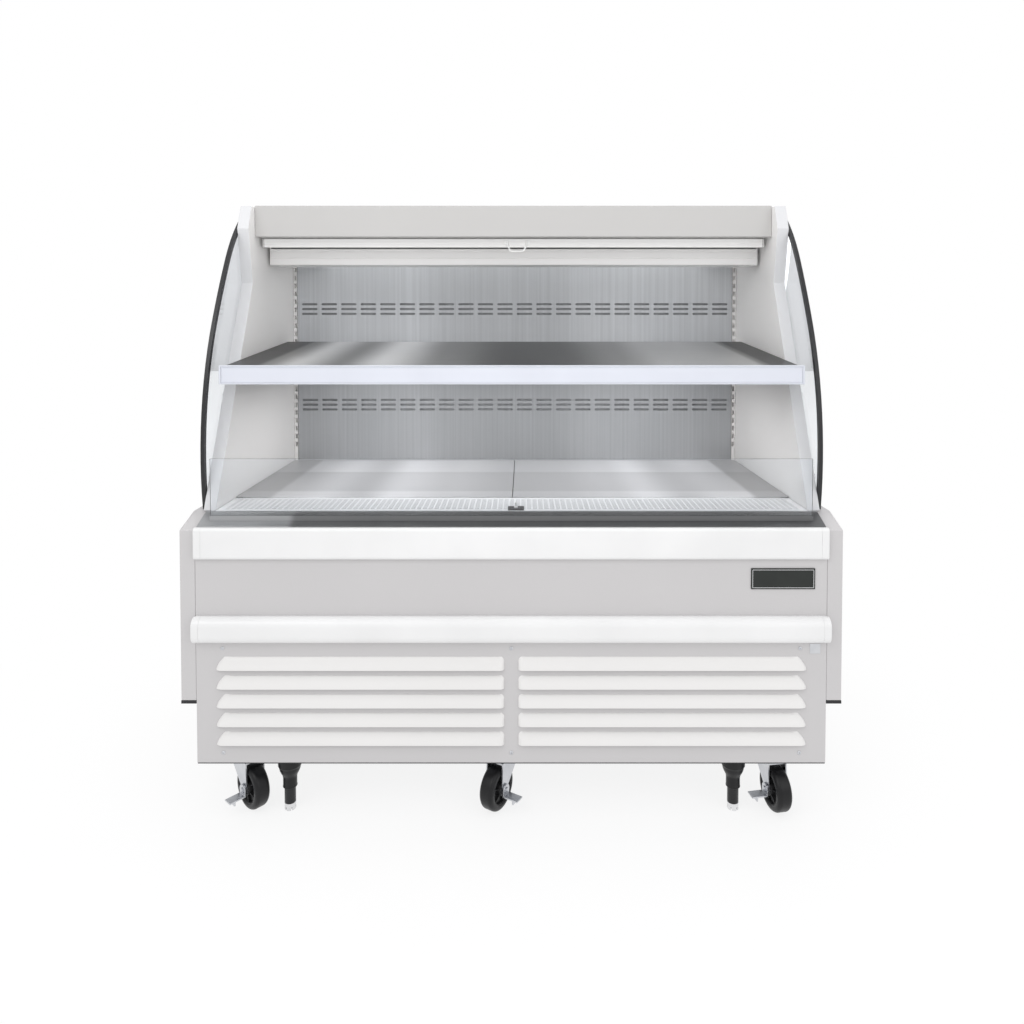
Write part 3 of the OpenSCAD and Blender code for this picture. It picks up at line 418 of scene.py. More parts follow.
# ---- Mesh helpers: everything is in metres in the frame of the CAD ----

def signed_volume(faces):
    total = 0
    for face in faces:
        first = face.verts[0].co
        for a, b in zip(face.verts[1:-1], face.verts[2:]):
            total += first.dot(a.co.cross(b.co))
    return total / 6


def islands(bm):
    left, groups = set(bm.faces), []
    while left:
        stack, group = [left.pop()], []
        while stack:
            face = stack.pop()
            group.append(face)
            for edge in face.edges:
                for other in edge.link_faces:
                    if other in left:
                        left.remove(other)
                        stack.append(other)
        groups.append(group)
    return groups


def bevel(bm, width, segments=2, edges=None):
    if edges is None:
        edges = [e for e in bm.edges if len(e.link_faces) == 2 and e.calc_face_angle(0) > SHARP_ANGLE]
    if edges:
        bmesh.ops.bevel(bm, geom=edges, offset=width, offset_type="OFFSET", segments=segments, profile=0.5,
                        affect="EDGES", clamp_overlap=True)


def finish_piece(bm, name, body, *paints, slot=None, replaces=(), flat=True, recalc=True):
    """Turns a bmesh into a piece that rides on a body, with its paints as its materials."""
    if recalc:
        bmesh.ops.recalc_face_normals(bm, faces=bm.faces)
    mesh = bpy.data.meshes.new(name)
    bm.to_mesh(mesh)
    bm.free()
    mesh.shade_smooth()
    mesh.set_sharp_from_angle(angle=math.radians(50))
    for paint in paints:
        mesh.materials.append(materials[paint])
    piece = link(name, mesh)
    if flat:
        weighted = piece.modifiers.new("flats", "WEIGHTED_NORMAL")
        weighted.keep_sharp = True
    if body:
        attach(piece, body)
    for node in replaces:
        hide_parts(node)
    return piece


def soften(node, width, segments=2, paints=None, pick=None):
    """A copy of a CAD node with its inner voids closed off and its sharp edges rounded.
    pick tells which of the paints a face has."""
    bm = bmesh.new()
    bm.from_mesh(frame["nodes"][node].data)
    bmesh.ops.remove_doubles(bm, verts=bm.verts, dist=2e-6)
    voids = [f for group in islands(bm) if signed_volume(group) < 0 for f in group]
    bmesh.ops.delete(bm, geom=voids, context="FACES")
    bmesh.ops.dissolve_limit(bm, angle_limit=math.radians(0.6), verts=bm.verts, edges=bm.edges)
    bevel(bm, width * MM, segments)
    if pick:
        for face in bm.faces:
            face.material_index = pick(face.calc_center_median(), face.normal)
    finish_piece(bm, node + "_soft", body_of[node], *paints or [paint_of(node)], slot=slot_of[node], replaces=[node],
                 recalc=False)


def loft(bm, rings, loop=False):
    """Skins rings of points. loop joins the last ring to the first; else both ends are capped."""
    made = [[bm.verts.new(p) for p in ring] for ring in rings]
    count = len(made[0])
    pairs = list(zip(made[:-1], made[1:])) + ([(made[-1], made[0])] if loop else [])
    for a, b in pairs:
        for i in range(count):
            j = (i + 1) % count
            bm.faces.new((a[i], a[j], b[j], b[i]))
    if not loop:
        bm.faces.new(list(reversed(made[0])))
        bm.faces.new(made[-1])
    return made


def bar_x(bm, outline, x0, x1):
    """A bar along X whose section is an outline of (y, z) points."""
    return loft(bm, [[(x, y, z) for y, z in outline] for x in (x0, x1)])


def block(bm, low, high, width=0, segments=2):
    corners = [(low[0], low[1]), (high[0], low[1]), (high[0], high[1]), (low[0], high[1])]
    before = set(bm.edges)
    loft(bm, [[(x, y, z) for x, y in corners] for z in (low[2], high[2])])
    if width:
        bevel(bm, width, segments, edges=[e for e in bm.edges if e not in before])


def blocks(name, body, paint, boxes, width=0, segments=2, **more):
    """A piece made of boxes, each a low and a high corner."""
    bm = bmesh.new()
    for low, high in boxes:
        block(bm, low, high, width, segments)
    finish_piece(bm, name, body, paint, **more)


def turned(points, height=0.0):
    """Profile points given in millimetres, above a height in metres."""
    return [(r * MM, height + h * MM) for r, h in points]


def frame_to(axis):
    axis = Vector(axis).normalized()
    side = axis.orthogonal().normalized()
    return side, axis.cross(side), axis


def lathe(bm, profile, at, axis, sides=48, loop=False):
    """Turns (radius, height) points round an axis."""
    u, v, w = frame_to(axis)
    at = Vector(at)
    angles = [2 * math.pi * i / sides for i in range(sides)]
    return loft(bm, [[at + u * (r * math.cos(a)) + v * (r * math.sin(a)) + w * height for a in angles]
                     for r, height in profile], loop)


def tube(bm, points, radius, sides=12, flat=1.0):
    """A round rod along points; flat squeezes it."""
    points = [Vector(p) for p in points]
    rings, side = [], None
    for i, p in enumerate(points):
        ahead = (points[min(i + 1, len(points) - 1)] - points[max(i - 1, 0)]).normalized()
        if side is None:
            side = ahead.orthogonal().normalized()
        side = (side - ahead * side.dot(ahead)).normalized()
        up = ahead.cross(side)
        rings.append([p + side * (radius * math.cos(t)) + up * (radius * flat * math.sin(t))
                      for t in (2 * math.pi * k / sides for k in range(sides))])
    return loft(bm, rings)


def arc(cy, cz, radius, start, end, steps=8):
    return [(cy + radius * math.cos(math.radians(start + (end - start) * i / steps)),
             cz + radius * math.sin(math.radians(start + (end - start) * i / steps))) for i in range(steps + 1)]


def slotted_sheet(bm, us, vs, holes, put):
    """A plate with rectangular holes. put(u, v, k) is a corner's place on its near (0) or far (1) face."""
    cells = {(i, j) for i in range(len(us) - 1) for j in range(len(vs) - 1)} - holes
    verts = {}

    def vert(i, j, k):
        if (i, j, k) not in verts:
            verts[i, j, k] = bm.verts.new(put(us[i], vs[j], k))
        return verts[i, j, k]
    sides = (((0, -1), (0, 0), (1, 0)), ((1, 0), (1, 0), (1, 1)), ((0, 1), (1, 1), (0, 1)), ((-1, 0), (0, 1), (0, 0)))
    for i, j in sorted(cells):
        bm.faces.new([vert(i, j, 0), vert(i + 1, j, 0), vert(i + 1, j + 1, 0), vert(i, j + 1, 0)])
        bm.faces.new([vert(i, j + 1, 1), vert(i + 1, j + 1, 1), vert(i + 1, j, 1), vert(i, j, 1)])
        for (di, dj), a, b in sides:
            if (i + di, j + dj) not in cells:
                bm.faces.new([vert(i + a[0], j + a[1], 1), vert(i + b[0], j + b[1], 1),
                              vert(i + b[0], j + b[1], 0), vert(i + a[0], j + a[1], 0)])


# ---- Front of the case ----

LOUVRE_ROWS = 5
LOUVRE_PITCH = 43.3 * MM
LOUVRE_TALL = 29 * MM
LOUVRE_TOP = 373 * MM
LOUVRE_IN = 16 * MM
LOUVRE_OUT = 674 * MM
LOUVRE_PROUD = 9 * MM
SHEET = 1.2 * MM


def louvre_hood(bm, side, top):
    """One pressed hood: shut at its top and ends, open below. Its outer end leans back in a long curve."""
    across, down = 64, 10
    end_run = 11 * MM
    lean = 19 * MM
    corner = 6 * MM

    def point(s, t, sink):
        up = 1 - t
        outer = LOUVRE_OUT - lean * up ** 1.7
        inner = LOUVRE_IN + corner * max(0.0, (up - 0.7) / 0.3) ** 2
        x = inner + (outer - inner) * s
        rise_in = min(1.0, (x - inner) / end_run)
        rise_out = min(1.0, (outer - x) / (end_run * 1.5))
        ends = math.sqrt(max(0.0, 1 - (1 - rise_in) ** 2)) * math.sqrt(max(0.0, 1 - (1 - rise_out) ** 2))
        proud = LOUVRE_PROUD * math.sin(math.pi / 2 * t ** 0.75) * ends
        return (side * x, FRONT - proud + sink, top - LOUVRE_TALL * t)
    share = [0.5 - 0.5 * math.cos(math.pi * i / across) for i in range(across + 1)]
    levels = [i / down for i in range(down + 1)]
    outside = [[bm.verts.new(point(s, t, -0.02 * MM)) for s in share] for t in levels]
    inside = [[bm.verts.new(point(s, t, SHEET - 0.1 * MM)) for s in share] for t in levels]
    rows, cols = len(levels), len(share)
    for i in range(rows - 1):
        for j in range(cols - 1):
            bm.faces.new((outside[i][j], outside[i][j + 1], outside[i + 1][j + 1], outside[i + 1][j]))
            bm.faces.new((inside[i + 1][j], inside[i + 1][j + 1], inside[i][j + 1], inside[i][j]))
    rim = [(0, j) for j in range(cols)] + [(i, cols - 1) for i in range(1, rows)]
    rim += [(rows - 1, j) for j in range(cols - 2, -1, -1)] + [(i, 0) for i in range(rows - 2, 0, -1)]
    for (a, b), (c, d) in zip(rim, rim[1:] + rim[:1]):
        bm.faces.new((outside[a][b], outside[c][d], inside[c][d], inside[a][b]))


def make_louvre_panel():
    low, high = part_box("louvre_panel")
    bm = bmesh.new()
    xs = [low.x, -LOUVRE_OUT + 20 * MM, -LOUVRE_IN - 8 * MM, LOUVRE_IN + 8 * MM, LOUVRE_OUT - 20 * MM, high.x]
    zs, holes = [low.z], set()
    for row in range(LOUVRE_ROWS):
        top = LOUVRE_TOP - LOUVRE_PITCH * (LOUVRE_ROWS - 1 - row)
        zs += [top - LOUVRE_TALL + 1.5 * MM, top - 8 * MM]
        holes |= {(1, 2 * row + 1), (3, 2 * row + 1)}
    zs.append(high.z)
    slotted_sheet(bm, xs, zs, holes, lambda u, v, k: (u, FRONT + SHEET * k, v))
    lip = 15 * MM
    for x0, x1 in ((low.x, low.x + SHEET), (high.x - SHEET, high.x)):
        block(bm, (x0, FRONT + SHEET, low.z), (x1, FRONT + lip, high.z), 0.3 * MM)
    for z0 in (low.z, high.z - SHEET):
        block(bm, (low.x + SHEET, FRONT + SHEET, z0), (high.x - SHEET, FRONT + lip, z0 + SHEET), 0.3 * MM)
    finish_piece(bm, "louvre_sheet", "case", "white_panel", replaces=["louvre_panel"])
    bm = bmesh.new()
    for row in range(LOUVRE_ROWS):
        for side in (-1, 1):
            louvre_hood(bm, side, LOUVRE_TOP - LOUVRE_PITCH * row)
    # The hoods get the lighter copy of the panel paint: a painted highlight where they catch the light.
    finish_piece(bm, "louvre_hoods", "case", "hood_white", flat=False)


def make_bumper(node, radius, name):
    """Extruded strip with round shoulders, a shallow step at its back and moulded end caps."""
    low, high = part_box(node)
    bm = bmesh.new()
    back = high.y
    outline = [(back, low.z + 0.6 * MM), (back, high.z - 0.6 * MM)]
    outline += arc(low.y + radius, high.z - radius, radius, 90, 180, 14)
    outline += arc(low.y + radius, low.z + radius, radius, 180, 270, 14)
    cap = 16 * MM
    bar_x(bm, outline, low.x + cap + 0.3 * MM, high.x - cap - 0.3 * MM)
    finish_piece(bm, name, "case", "bumper_white", replaces=[node])
    bm = bmesh.new()
    for x0, x1, outer in ((low.x, low.x + cap, 0), (high.x - cap, high.x, 1)):
        ring = set(bar_x(bm, outline, x0, x1)[outer])
        bevel(bm, min(5 * MM, radius * 0.6), 4, edges=[e for e in bm.edges if ring.issuperset(e.verts)])
    finish_piece(bm, name + "_caps", "case", "bumper_white")


def make_front():
    make_louvre_panel()
    make_bumper("upper_bumper", 8 * MM, "bumper_upper")
    make_bumper("lower_bumper", 20 * MM, "bumper_lower")
    soften("front_panel", 0.8)
    soften("front_ledge", 0.5)
    low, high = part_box("badge")
    blocks("badge_plate", "case", "badge_black", [(low, high)], 0.9 * MM, 3, replaces=["badge"])
    edge, thick = 3 * MM, 1.1 * MM
    y0, y1 = low.y - 0.35 * MM, low.y + 0.1 * MM
    border = [((low.x + edge, y0, z), (high.x - edge, y1, z + thick)) for z in (low.z + edge, high.z - edge - thick)]
    border += [((x, y0, low.z + edge), (x + thick, y1, high.z - edge)) for x in (low.x + edge, high.x - edge - thick)]
    blocks("badge_border", "case", "chrome", border, 0.2 * MM)
    low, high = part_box("louvre_panel")
    # A black strip under the louvre panel's lower edge: a dark piece put in as the painted shadow of the gap there.
    strip = ((low.x + 1 * MM, FRONT - 0.6 * MM, low.z - 2.2 * MM), (high.x - 1 * MM, FRONT + 14 * MM, low.z - 0.05 * MM))
    blocks("lower_edge_shadow_strip", "case", "black_trim", [strip], 0.6 * MM)
    blocks("rating_plate_blank", "case", "zinc",
           [((0.682, FRONT - 0.8 * MM, 0.380), (0.706, FRONT - 0.05 * MM, 0.403))], 0.4 * MM)


# ---- Casters and legs ----

def make_caster_wheel(number):
    joint = joint_of[f"wheel_roll_{number}"]
    at, axis = joint["pos_m"], joint["axis"]
    radius = at[2]
    half = 18 * MM
    shoulder = 10 * MM
    rim = radius - 15 * MM
    bm = bmesh.new()
    right = [(rim, -half + 1.6 * MM), (rim + 1.2 * MM, -half + 0.3 * MM), (rim + 3 * MM, -half)]
    right += arc(radius - shoulder, -half + shoulder, shoulder, -90, -4, 9)
    right += [(radius - 0.15 * MM, -half * 0.25)]
    left = [(r, -h) for r, h in reversed(right)]
    lathe(bm, right + [(radius, 0)] + left, at, axis, sides=96, loop=True)
    finish_piece(bm, f"tyre_{number}", joint["child"], "caster_rubber", replaces=[joint["child"]], flat=False)
    bm = bmesh.new()
    hub, bore = 15 * MM, 6.1 * MM
    web = half - 8 * MM
    side = [(bore, -half - 1.8 * MM), (hub - 1 * MM, -half - 1.8 * MM), (hub, -half - 0.8 * MM),
            (hub + 1.5 * MM, -web), (rim - 4.5 * MM, -web), (rim - 2.6 * MM, -half + 3.2 * MM),
            (rim - 1.2 * MM, -half + 1.2 * MM), (rim - 0.1 * MM, -half + 1.2 * MM)]
    lathe(bm, side + [(r, -h) for r, h in reversed(side)], at, axis, sides=72, loop=True)
    u, v, w = frame_to(axis)
    spokes, thick = 6, 1.4 * MM
    for s in (-1, 1):
        base = s * (web - 0.3 * MM)
        ends = ((hub - 1 * MM, s * (half - 1 * MM)), (rim - 3 * MM, s * (half - 3.5 * MM)))
        for k in range(spokes):
            a = 2 * math.pi * k / spokes
            out = u * math.cos(a) + v * math.sin(a)
            along = out.cross(w)
            loft(bm, [[Vector(at) + out * r + along * (e * thick) + w * h
                       for e, h in ((-1, base), (1, base), (0.6, top), (-0.6, top))] for r, top in ends])
    finish_piece(bm, f"wheel_core_{number}", joint["child"], "hub_black")


def hex_nut(bm, at, axis, radius, height):
    lathe(bm, [(radius * 0.9, 0), (radius, radius * 0.08), (radius, height * 0.8), (radius * 0.86, height)],
          at, axis, sides=6)


def make_casters():
    race_radius, race_wire, race_steps = 33 * MM, 2.2 * MM, 12
    axle_nut, axle_nut_out = (9.5 * MM, 5 * MM), 24.6 * MM
    plate_nut, plate_nut_at = (6.5 * MM, 5 * MM), (39 * MM, 24 * MM)
    for number in range(1, 7):
        make_caster_wheel(number)
        body = f"caster_fork_{number}"
        soften(body, 0.9, 3)
        swivel, roll = joint_of[f"caster_swivel_{number}"], joint_of[f"wheel_roll_{number}"]
        bm = bmesh.new()
        x, y, _ = swivel["pos_m"]
        race_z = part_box(body)[1].z - 1.6 * MM
        turns = [2 * math.pi * i / race_steps for i in range(race_steps)]
        lathe(bm, [(race_radius + race_wire * math.cos(t), race_z + race_wire * math.sin(t)) for t in turns],
              (x, y, 0), (0, 0, 1), loop=True)
        axis = Vector(roll["axis"])
        if number > BRAKED:
            for s in (-1, 1):
                hex_nut(bm, Vector(roll["pos_m"]) + axis * (s * axle_nut_out), axis * s, *axle_nut)
        finish_piece(bm, f"caster_race_{number}", body, "zinc")
        if number <= BRAKED:
            soften(f"brake_pedal_{number}", 0.7, 3)
    soften("caster_plates", 0.6)
    bm = bmesh.new()
    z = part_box("caster_plates")[1].z - 4 * MM
    for number in range(1, 7):
        x, y, _ = joint_of[f"caster_swivel_{number}"]["pos_m"]
        for sx in (-1, 1):
            for sy in (-1, 1):
                hex_nut(bm, (x + sx * plate_nut_at[0], y + sy * plate_nut_at[1], z), (0, 0, -1), *plate_nut)
    finish_piece(bm, "caster_bolts", "case", "zinc")


def leg_place(number):
    low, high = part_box(f"leg_foot_{number}")
    return (low.x + high.x) / 2, (low.y + high.y) / 2, 0


def make_legs():
    low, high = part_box("leg_sleeves")
    up = Vector((0, 0, 1))
    profile = turned([(13.06, 0), (15.6, 0), (16.4, 0.8), (16.4, 2.6), (15.9, 3.2)], low.z)
    profile += turned([(15.9, 78), (16.4, 79), (16.4, 81), (18, 84.5), (21.5, 91), (23.5, 96), (24.6, 101), (25, 104),
                       (26.6, 106), (27, 107)])
    profile += turned([(27, -5), (26.2, -4.4), (26.2, -3), (27, -2.4), (27, 0), (13.06, 0)], high.z)
    # Each rib's height, then how far it starts and ends from the leg's axis
    rib_ends, rib_half = ((81 * MM, 15.5 * MM, 17 * MM), (106.5 * MM, 15.5 * MM, 26 * MM)), 0.9 * MM
    bm = bmesh.new()
    for number in range(1, 5):
        c = Vector(leg_place(number))
        lathe(bm, profile, c, up, sides=64, loop=True)
        for k in range(4):
            a = math.pi / 4 + k * math.pi / 2
            out, along = Vector((math.cos(a), math.sin(a), 0)), Vector((-math.sin(a), math.cos(a), 0))
            loft(bm, [[c + out * r + along * (e * rib_half) + up * z
                       for r, e in ((r0, -1), (r1, -1), (r1, 1), (r0, 1))] for z, r0, r1 in rib_ends])
    finish_piece(bm, "leg_sleeves_ribbed", "case", "black_plastic", replaces=["leg_sleeves"])
    for number in range(1, 5):
        make_leg_foot(f"leg_foot_{number}", leg_place(number), up)


def make_leg_foot(node, at, up):
    """A tube that slides in its sleeve, and its tip with teeth for a wrench."""
    base, tube_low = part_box(node)[0].z, 17 * MM
    tube_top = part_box(node)[1].z
    profile = turned([(10.5, 1), (12.4, 0.6), (12.95, 1.4)], tube_low) + turned([(12.95, 0), (10.5, 0)], tube_top)
    bm = bmesh.new()
    lathe(bm, profile, at, up, loop=True)
    finish_piece(bm, node + "_tube", node, "black_gloss", replaces=[node])
    bm = bmesh.new()
    teeth, tooth_share, tooth_steps = 6, 0.76, 6
    outer, inner, web = 13.0 * MM, 8.5 * MM, 8 * MM
    section = ((inner, base + 0.4 * MM), (outer - 0.8 * MM, base), (outer, base + 0.9 * MM),
               (outer, base + web + 1 * MM), (inner, base + web + 1 * MM))
    for k in range(teeth):
        start = 2 * math.pi * (k + (1 - tooth_share) / 2) / teeth
        span = 2 * math.pi * tooth_share / teeth
        loft(bm, [[(at[0] + r * math.cos(t), at[1] + r * math.sin(t), z) for r, z in section]
                  for t in (start + span * i / tooth_steps for i in range(tooth_steps + 1))])
    lathe(bm, [(inner, base + web), (outer - 0.2 * MM, base + web), (outer, base + web + 0.8 * MM), (outer, tube_low),
               (12.2 * MM, tube_low + 1.2 * MM), (inner, tube_low + 1.2 * MM)], at, up, loop=True)
    lathe(bm, turned([(3, 2), (7.6, 2)], base) + turned([(7.6, 0), (3, 0)], tube_low), at, up, sides=24, loop=True)
    finish_piece(bm, node + "_tip", node, "chrome")


# ---- Shelf, deck and air return ----

def cuts(low, high, margin, pitch, gap):
    """Cut positions for a row of openings of width gap at a pitch, centred between two margins."""
    count = int((high - low - 2 * margin + pitch - gap) / pitch)
    start = (low + high) / 2 - ((count - 1) * pitch + gap) / 2
    return [low] + [start + i * pitch + e for i in range(count) for e in (0, gap)] + [high]


def make_return_grille():
    low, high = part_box("return_grille")
    bm = bmesh.new()
    us = cuts(low.x, high.x, 12 * MM, 13.8 * MM, 11 * MM)
    vs = cuts(low.y, high.y, 10 * MM, 5.6 * MM, 2.6 * MM)
    holes = {(i, j) for i in range(1, len(us) - 1, 2) for j in range(1, len(vs) - 1, 2)}
    thick = 1.0 * MM
    slotted_sheet(bm, us, vs, holes, lambda u, v, k: (u, v, high.z - thick * k))
    for y0 in (low.y, high.y - thick):
        block(bm, (low.x, y0, low.z), (high.x, y0 + thick, high.z - thick), 0.2 * MM)
    finish_piece(bm, "return_grille_slots", "case", "grille_white", replaces=["return_grille"])


def make_duct():
    soften("duct_panel", 0.2, 1)
    low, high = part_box("duct_panel")
    bm = bmesh.new()
    gap, half, fold = 2.5 * MM, 28 * MM, 1.2 * MM
    us = cuts(low.x + 4 * MM, high.x - 4 * MM, 6 * MM, 12 * MM, 8 * MM)
    for z in (0.872, 1.1745):
        slotted_sheet(bm, us, [z - half, z + half], set(),
                      lambda u, v, k: (u, high.y + gap + k * MM + (fold if round(u / (4 * MM)) % 2 else 0), v))
    finish_piece(bm, "duct_baffles", "case", "baffle_grey")
    # Black strips at the duct panel's side edges: dark pieces put in as the painted shadow of the gaps there.
    blocks("duct_edge_shadow_strips", "case", "black_trim", [((x, low.y + 0.2 * MM, low.z), (x + 0.9 * MM, high.y, high.z))
                                                     for x in (low.x - 1.0 * MM, high.x + 0.1 * MM)], 0.1 * MM)


def make_shelf_rail():
    low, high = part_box("shelf_rail")
    t, lip, cap = 1.3 * MM, 3.2 * MM, 5 * MM
    y0, y1, z0, z1 = low.y, high.y, low.z, high.z
    front = y0 + 2.4 * MM
    outline = [(y1, z0), (y1, z1)] + arc(y0 + t, z1 - t, t, 90, 180, 5) + [
        (y0, z1 - lip), (front, z1 - lip - 0.6 * MM), (front, z0 + lip + 0.6 * MM), (y0, z0 + lip)]
    outline += arc(y0 + t, z0 + t, t, 180, 270, 5)
    bm = bmesh.new()
    bar_x(bm, outline, low.x + cap, high.x - cap)
    finish_piece(bm, "ticket_rail", "shelf", "rail_white", replaces=["shelf_rail"])
    blocks("ticket_rail_caps", "shelf", "rail_white", [((x, y0, z0), (x + cap - 0.2 * MM, y1, z1))
                                                       for x in (low.x, high.x - cap + 0.2 * MM)], 1.2 * MM, 3)
    blocks("ticket_strip_blank", "shelf", "strip_white",
           [((low.x + cap + 1 * MM, front - 0.9 * MM, z0 + lip + 1.6 * MM),
             (high.x - cap - 1 * MM, front + 0.02 * MM, z1 - lip - 1.6 * MM))], 0.3 * MM)


def make_shelf_and_deck():
    for node in ("shelf_tray", "deck_pan_left", "deck_pan_right"):
        soften(node, 0.9, 3)
    soften("shelf_supports", 0.35)
    make_shelf_rail()
    make_return_grille()
    make_duct()


# ---- Night curtain ----

def make_housing():
    low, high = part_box("curtain_housing")
    t, r, cap, groove = 1.2 * MM, 4 * MM, 3 * MM, 1.1 * MM
    slot_low, slot_high = 1.342, 1.350
    y0, y1, z0, z1 = low.y, high.y, low.z, high.z
    outer = [(y0 + 4 * MM, slot_low), (y0, slot_low - 0.8 * MM)]
    for z in (z0 + 39 * MM, z0 + 20.5 * MM):
        outer += [(y0, z + 2.6 * MM), (y0 + groove, z + 1.7 * MM), (y0 + groove, z - 1.7 * MM), (y0, z - 2.6 * MM)]
    outer += arc(y0 + r, z0 + r, r, 180, 270, 6) + arc(y1 - r, z0 + r, r, 270, 360, 6) + [(y1, z1)]
    outer += [(y0, z1), (y0, slot_high + 0.8 * MM), (y0 + 4 * MM, slot_high)]
    inner = [(y0 + 4 * MM, slot_high + t), (y0 + t + 1.2 * MM, slot_high + t + 0.6 * MM), (y0 + t + 1.2 * MM, z1 - t),
             (y1 - t, z1 - t), (y1 - t, z0 + t + r), (y1 - t - r, z0 + t), (y0 + t + r, z0 + t),
             (y0 + t + groove, z0 + t + r), (y0 + t + groove, slot_low - t), (y0 + 4 * MM, slot_low - t)]
    bm = bmesh.new()
    bar_x(bm, outer + inner, low.x + cap, high.x - cap)
    finish_piece(bm, "housing_shell", "case", "housing_white", replaces=["curtain_housing"])
    bm = bmesh.new()
    shape = arc(y0 + r, z0 + r, r, 180, 270, 6) + arc(y1 - r, z0 + r, r, 270, 360, 6) + [(y1, z1), (y0, z1)]
    for x0 in (low.x, high.x - cap + 0.1 * MM):
        bar_x(bm, shape, x0, x0 + cap - 0.1 * MM)
    bevel(bm, 0.5 * MM, 2)
    rivet = turned([(0.5, -1), (3.4, -0.9), (3.2, 0.3), (1.8, 0.9), (0.5, 1)])
    for x, s in ((low.x, -1), (high.x, 1)):
        for y in (y0 + 12 * MM, y1 - 12 * MM):
            lathe(bm, rivet, (x, y, z1 - 14 * MM), (s, 0, 0), sides=20)
    finish_piece(bm, "housing_caps", "case", "housing_white")


CLOTH_T = 0.4 * MM
ROLL_OUT = 19.95 * MM


def make_cloth(name, body, replaced, rings, points):
    """Cloth as a loft of four-cornered rings, and its length along its (y, z) points.
    Its UVs are metres: U is along X and V along the cloth."""
    lengths = [0.0]
    for (ya, za), (yb, zb) in zip(points, points[1:]):
        lengths.append(lengths[-1] + math.hypot(yb - ya, zb - za))
    bm = bmesh.new()
    loft(bm, rings)
    piece = finish_piece(bm, name, body, "curtain_cloth", replaces=[replaced], flat=False)
    layer = piece.data.uv_layers.new(name="cloth")
    for loop in piece.data.loops:
        layer.data[loop.index].uv = (piece.data.vertices[loop.vertex_index].co.x, lengths[loop.vertex_index // 4])
    return piece, lengths[-1]


def make_curtain_roll():
    x0, x1 = (corner.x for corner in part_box("curtain_strip"))
    _, cy, cz = joint_of["curtain_roll"]["pos_m"]
    roll_in, pitch, turn_steps = 16.25 * MM, 0.5 * MM, 48
    turns = (ROLL_OUT - roll_in) / pitch
    steps = int(turns * turn_steps)
    rings = []
    for i in range(steps + 1):
        a = math.pi / 2 + turns * 2 * math.pi * (1 - i / steps)
        r = roll_in + pitch * turns * i / steps
        (ya, za), (yb, zb) = [(cy + radius * math.cos(a), cz + radius * math.sin(a)) for radius in (r, r - CLOTH_T)]
        rings.append([(x0, ya, za), (x1, ya, za), (x1, yb, zb), (x0, yb, zb)])
    outside = [ring[0][1:] for ring in rings]
    roll, run = make_cloth("curtain_cloth_roll", "curtain_roller", "curtain_roller", rings, outside)
    bm = bmesh.new()
    low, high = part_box("curtain_roller")
    tube_ends = [(12.5 * MM, low.x + 5 * MM), (15.95 * MM, low.x + 5 * MM), (16 * MM, low.x + 6 * MM),
                 (16 * MM, high.x - 6 * MM), (15.95 * MM, high.x - 5 * MM), (12.5 * MM, high.x - 5 * MM)]
    lathe(bm, tube_ends, (0, cy, cz), (1, 0, 0), sides=48, loop=True)
    plug = turned([(2, -12), (12.4, -12), (12.4, -4.6), (10, -3.8), (5, -3.6), (4.9, -0.6), (4.3, 0), (2, 0)])
    for x, s in ((low.x, -1), (high.x, 1)):
        lathe(bm, plug, (x, cy, cz), (s, 0, 0), sides=32, loop=True)
    finish_piece(bm, "curtain_tube", "curtain_roller", "aluminium")


def make_curtain_strip():
    """From the roll straight to the mouth of the housing, then eased down into the pull bar."""
    low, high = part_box("curtain_strip")
    _, cy, cz = joint_of["curtain_roll"]["pos_m"]
    start = (cy, cz + ROLL_OUT + 0.15 * MM)
    mouth = (high.y, low.z + 0.3 * MM)
    finish = (low.y + 0.2 * MM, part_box("curtain_bar")[1].z - 12 * MM)
    lead, rows = 12, 130
    path = [(start[0] + (mouth[0] - start[0]) * i / lead, start[1] + (mouth[1] - start[1]) * i / lead)
            for i in range(lead)]
    for i in range(rows + 1):
        s = i / rows
        ease = s * s * (3 - 2 * s)
        path.append((mouth[0] + (finish[0] - mouth[0]) * s, mouth[1] + (finish[1] - mouth[1]) * ease))
    corners = ((low.x, 1), (high.x, 1), (high.x, -1), (low.x, -1))
    rings = [[(x, y, z + e * CLOTH_T / 2) for x, e in corners] for y, z in path]
    strip, run = make_cloth("curtain_cloth_strip", None, "curtain_strip", rings, path)
    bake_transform(strip)


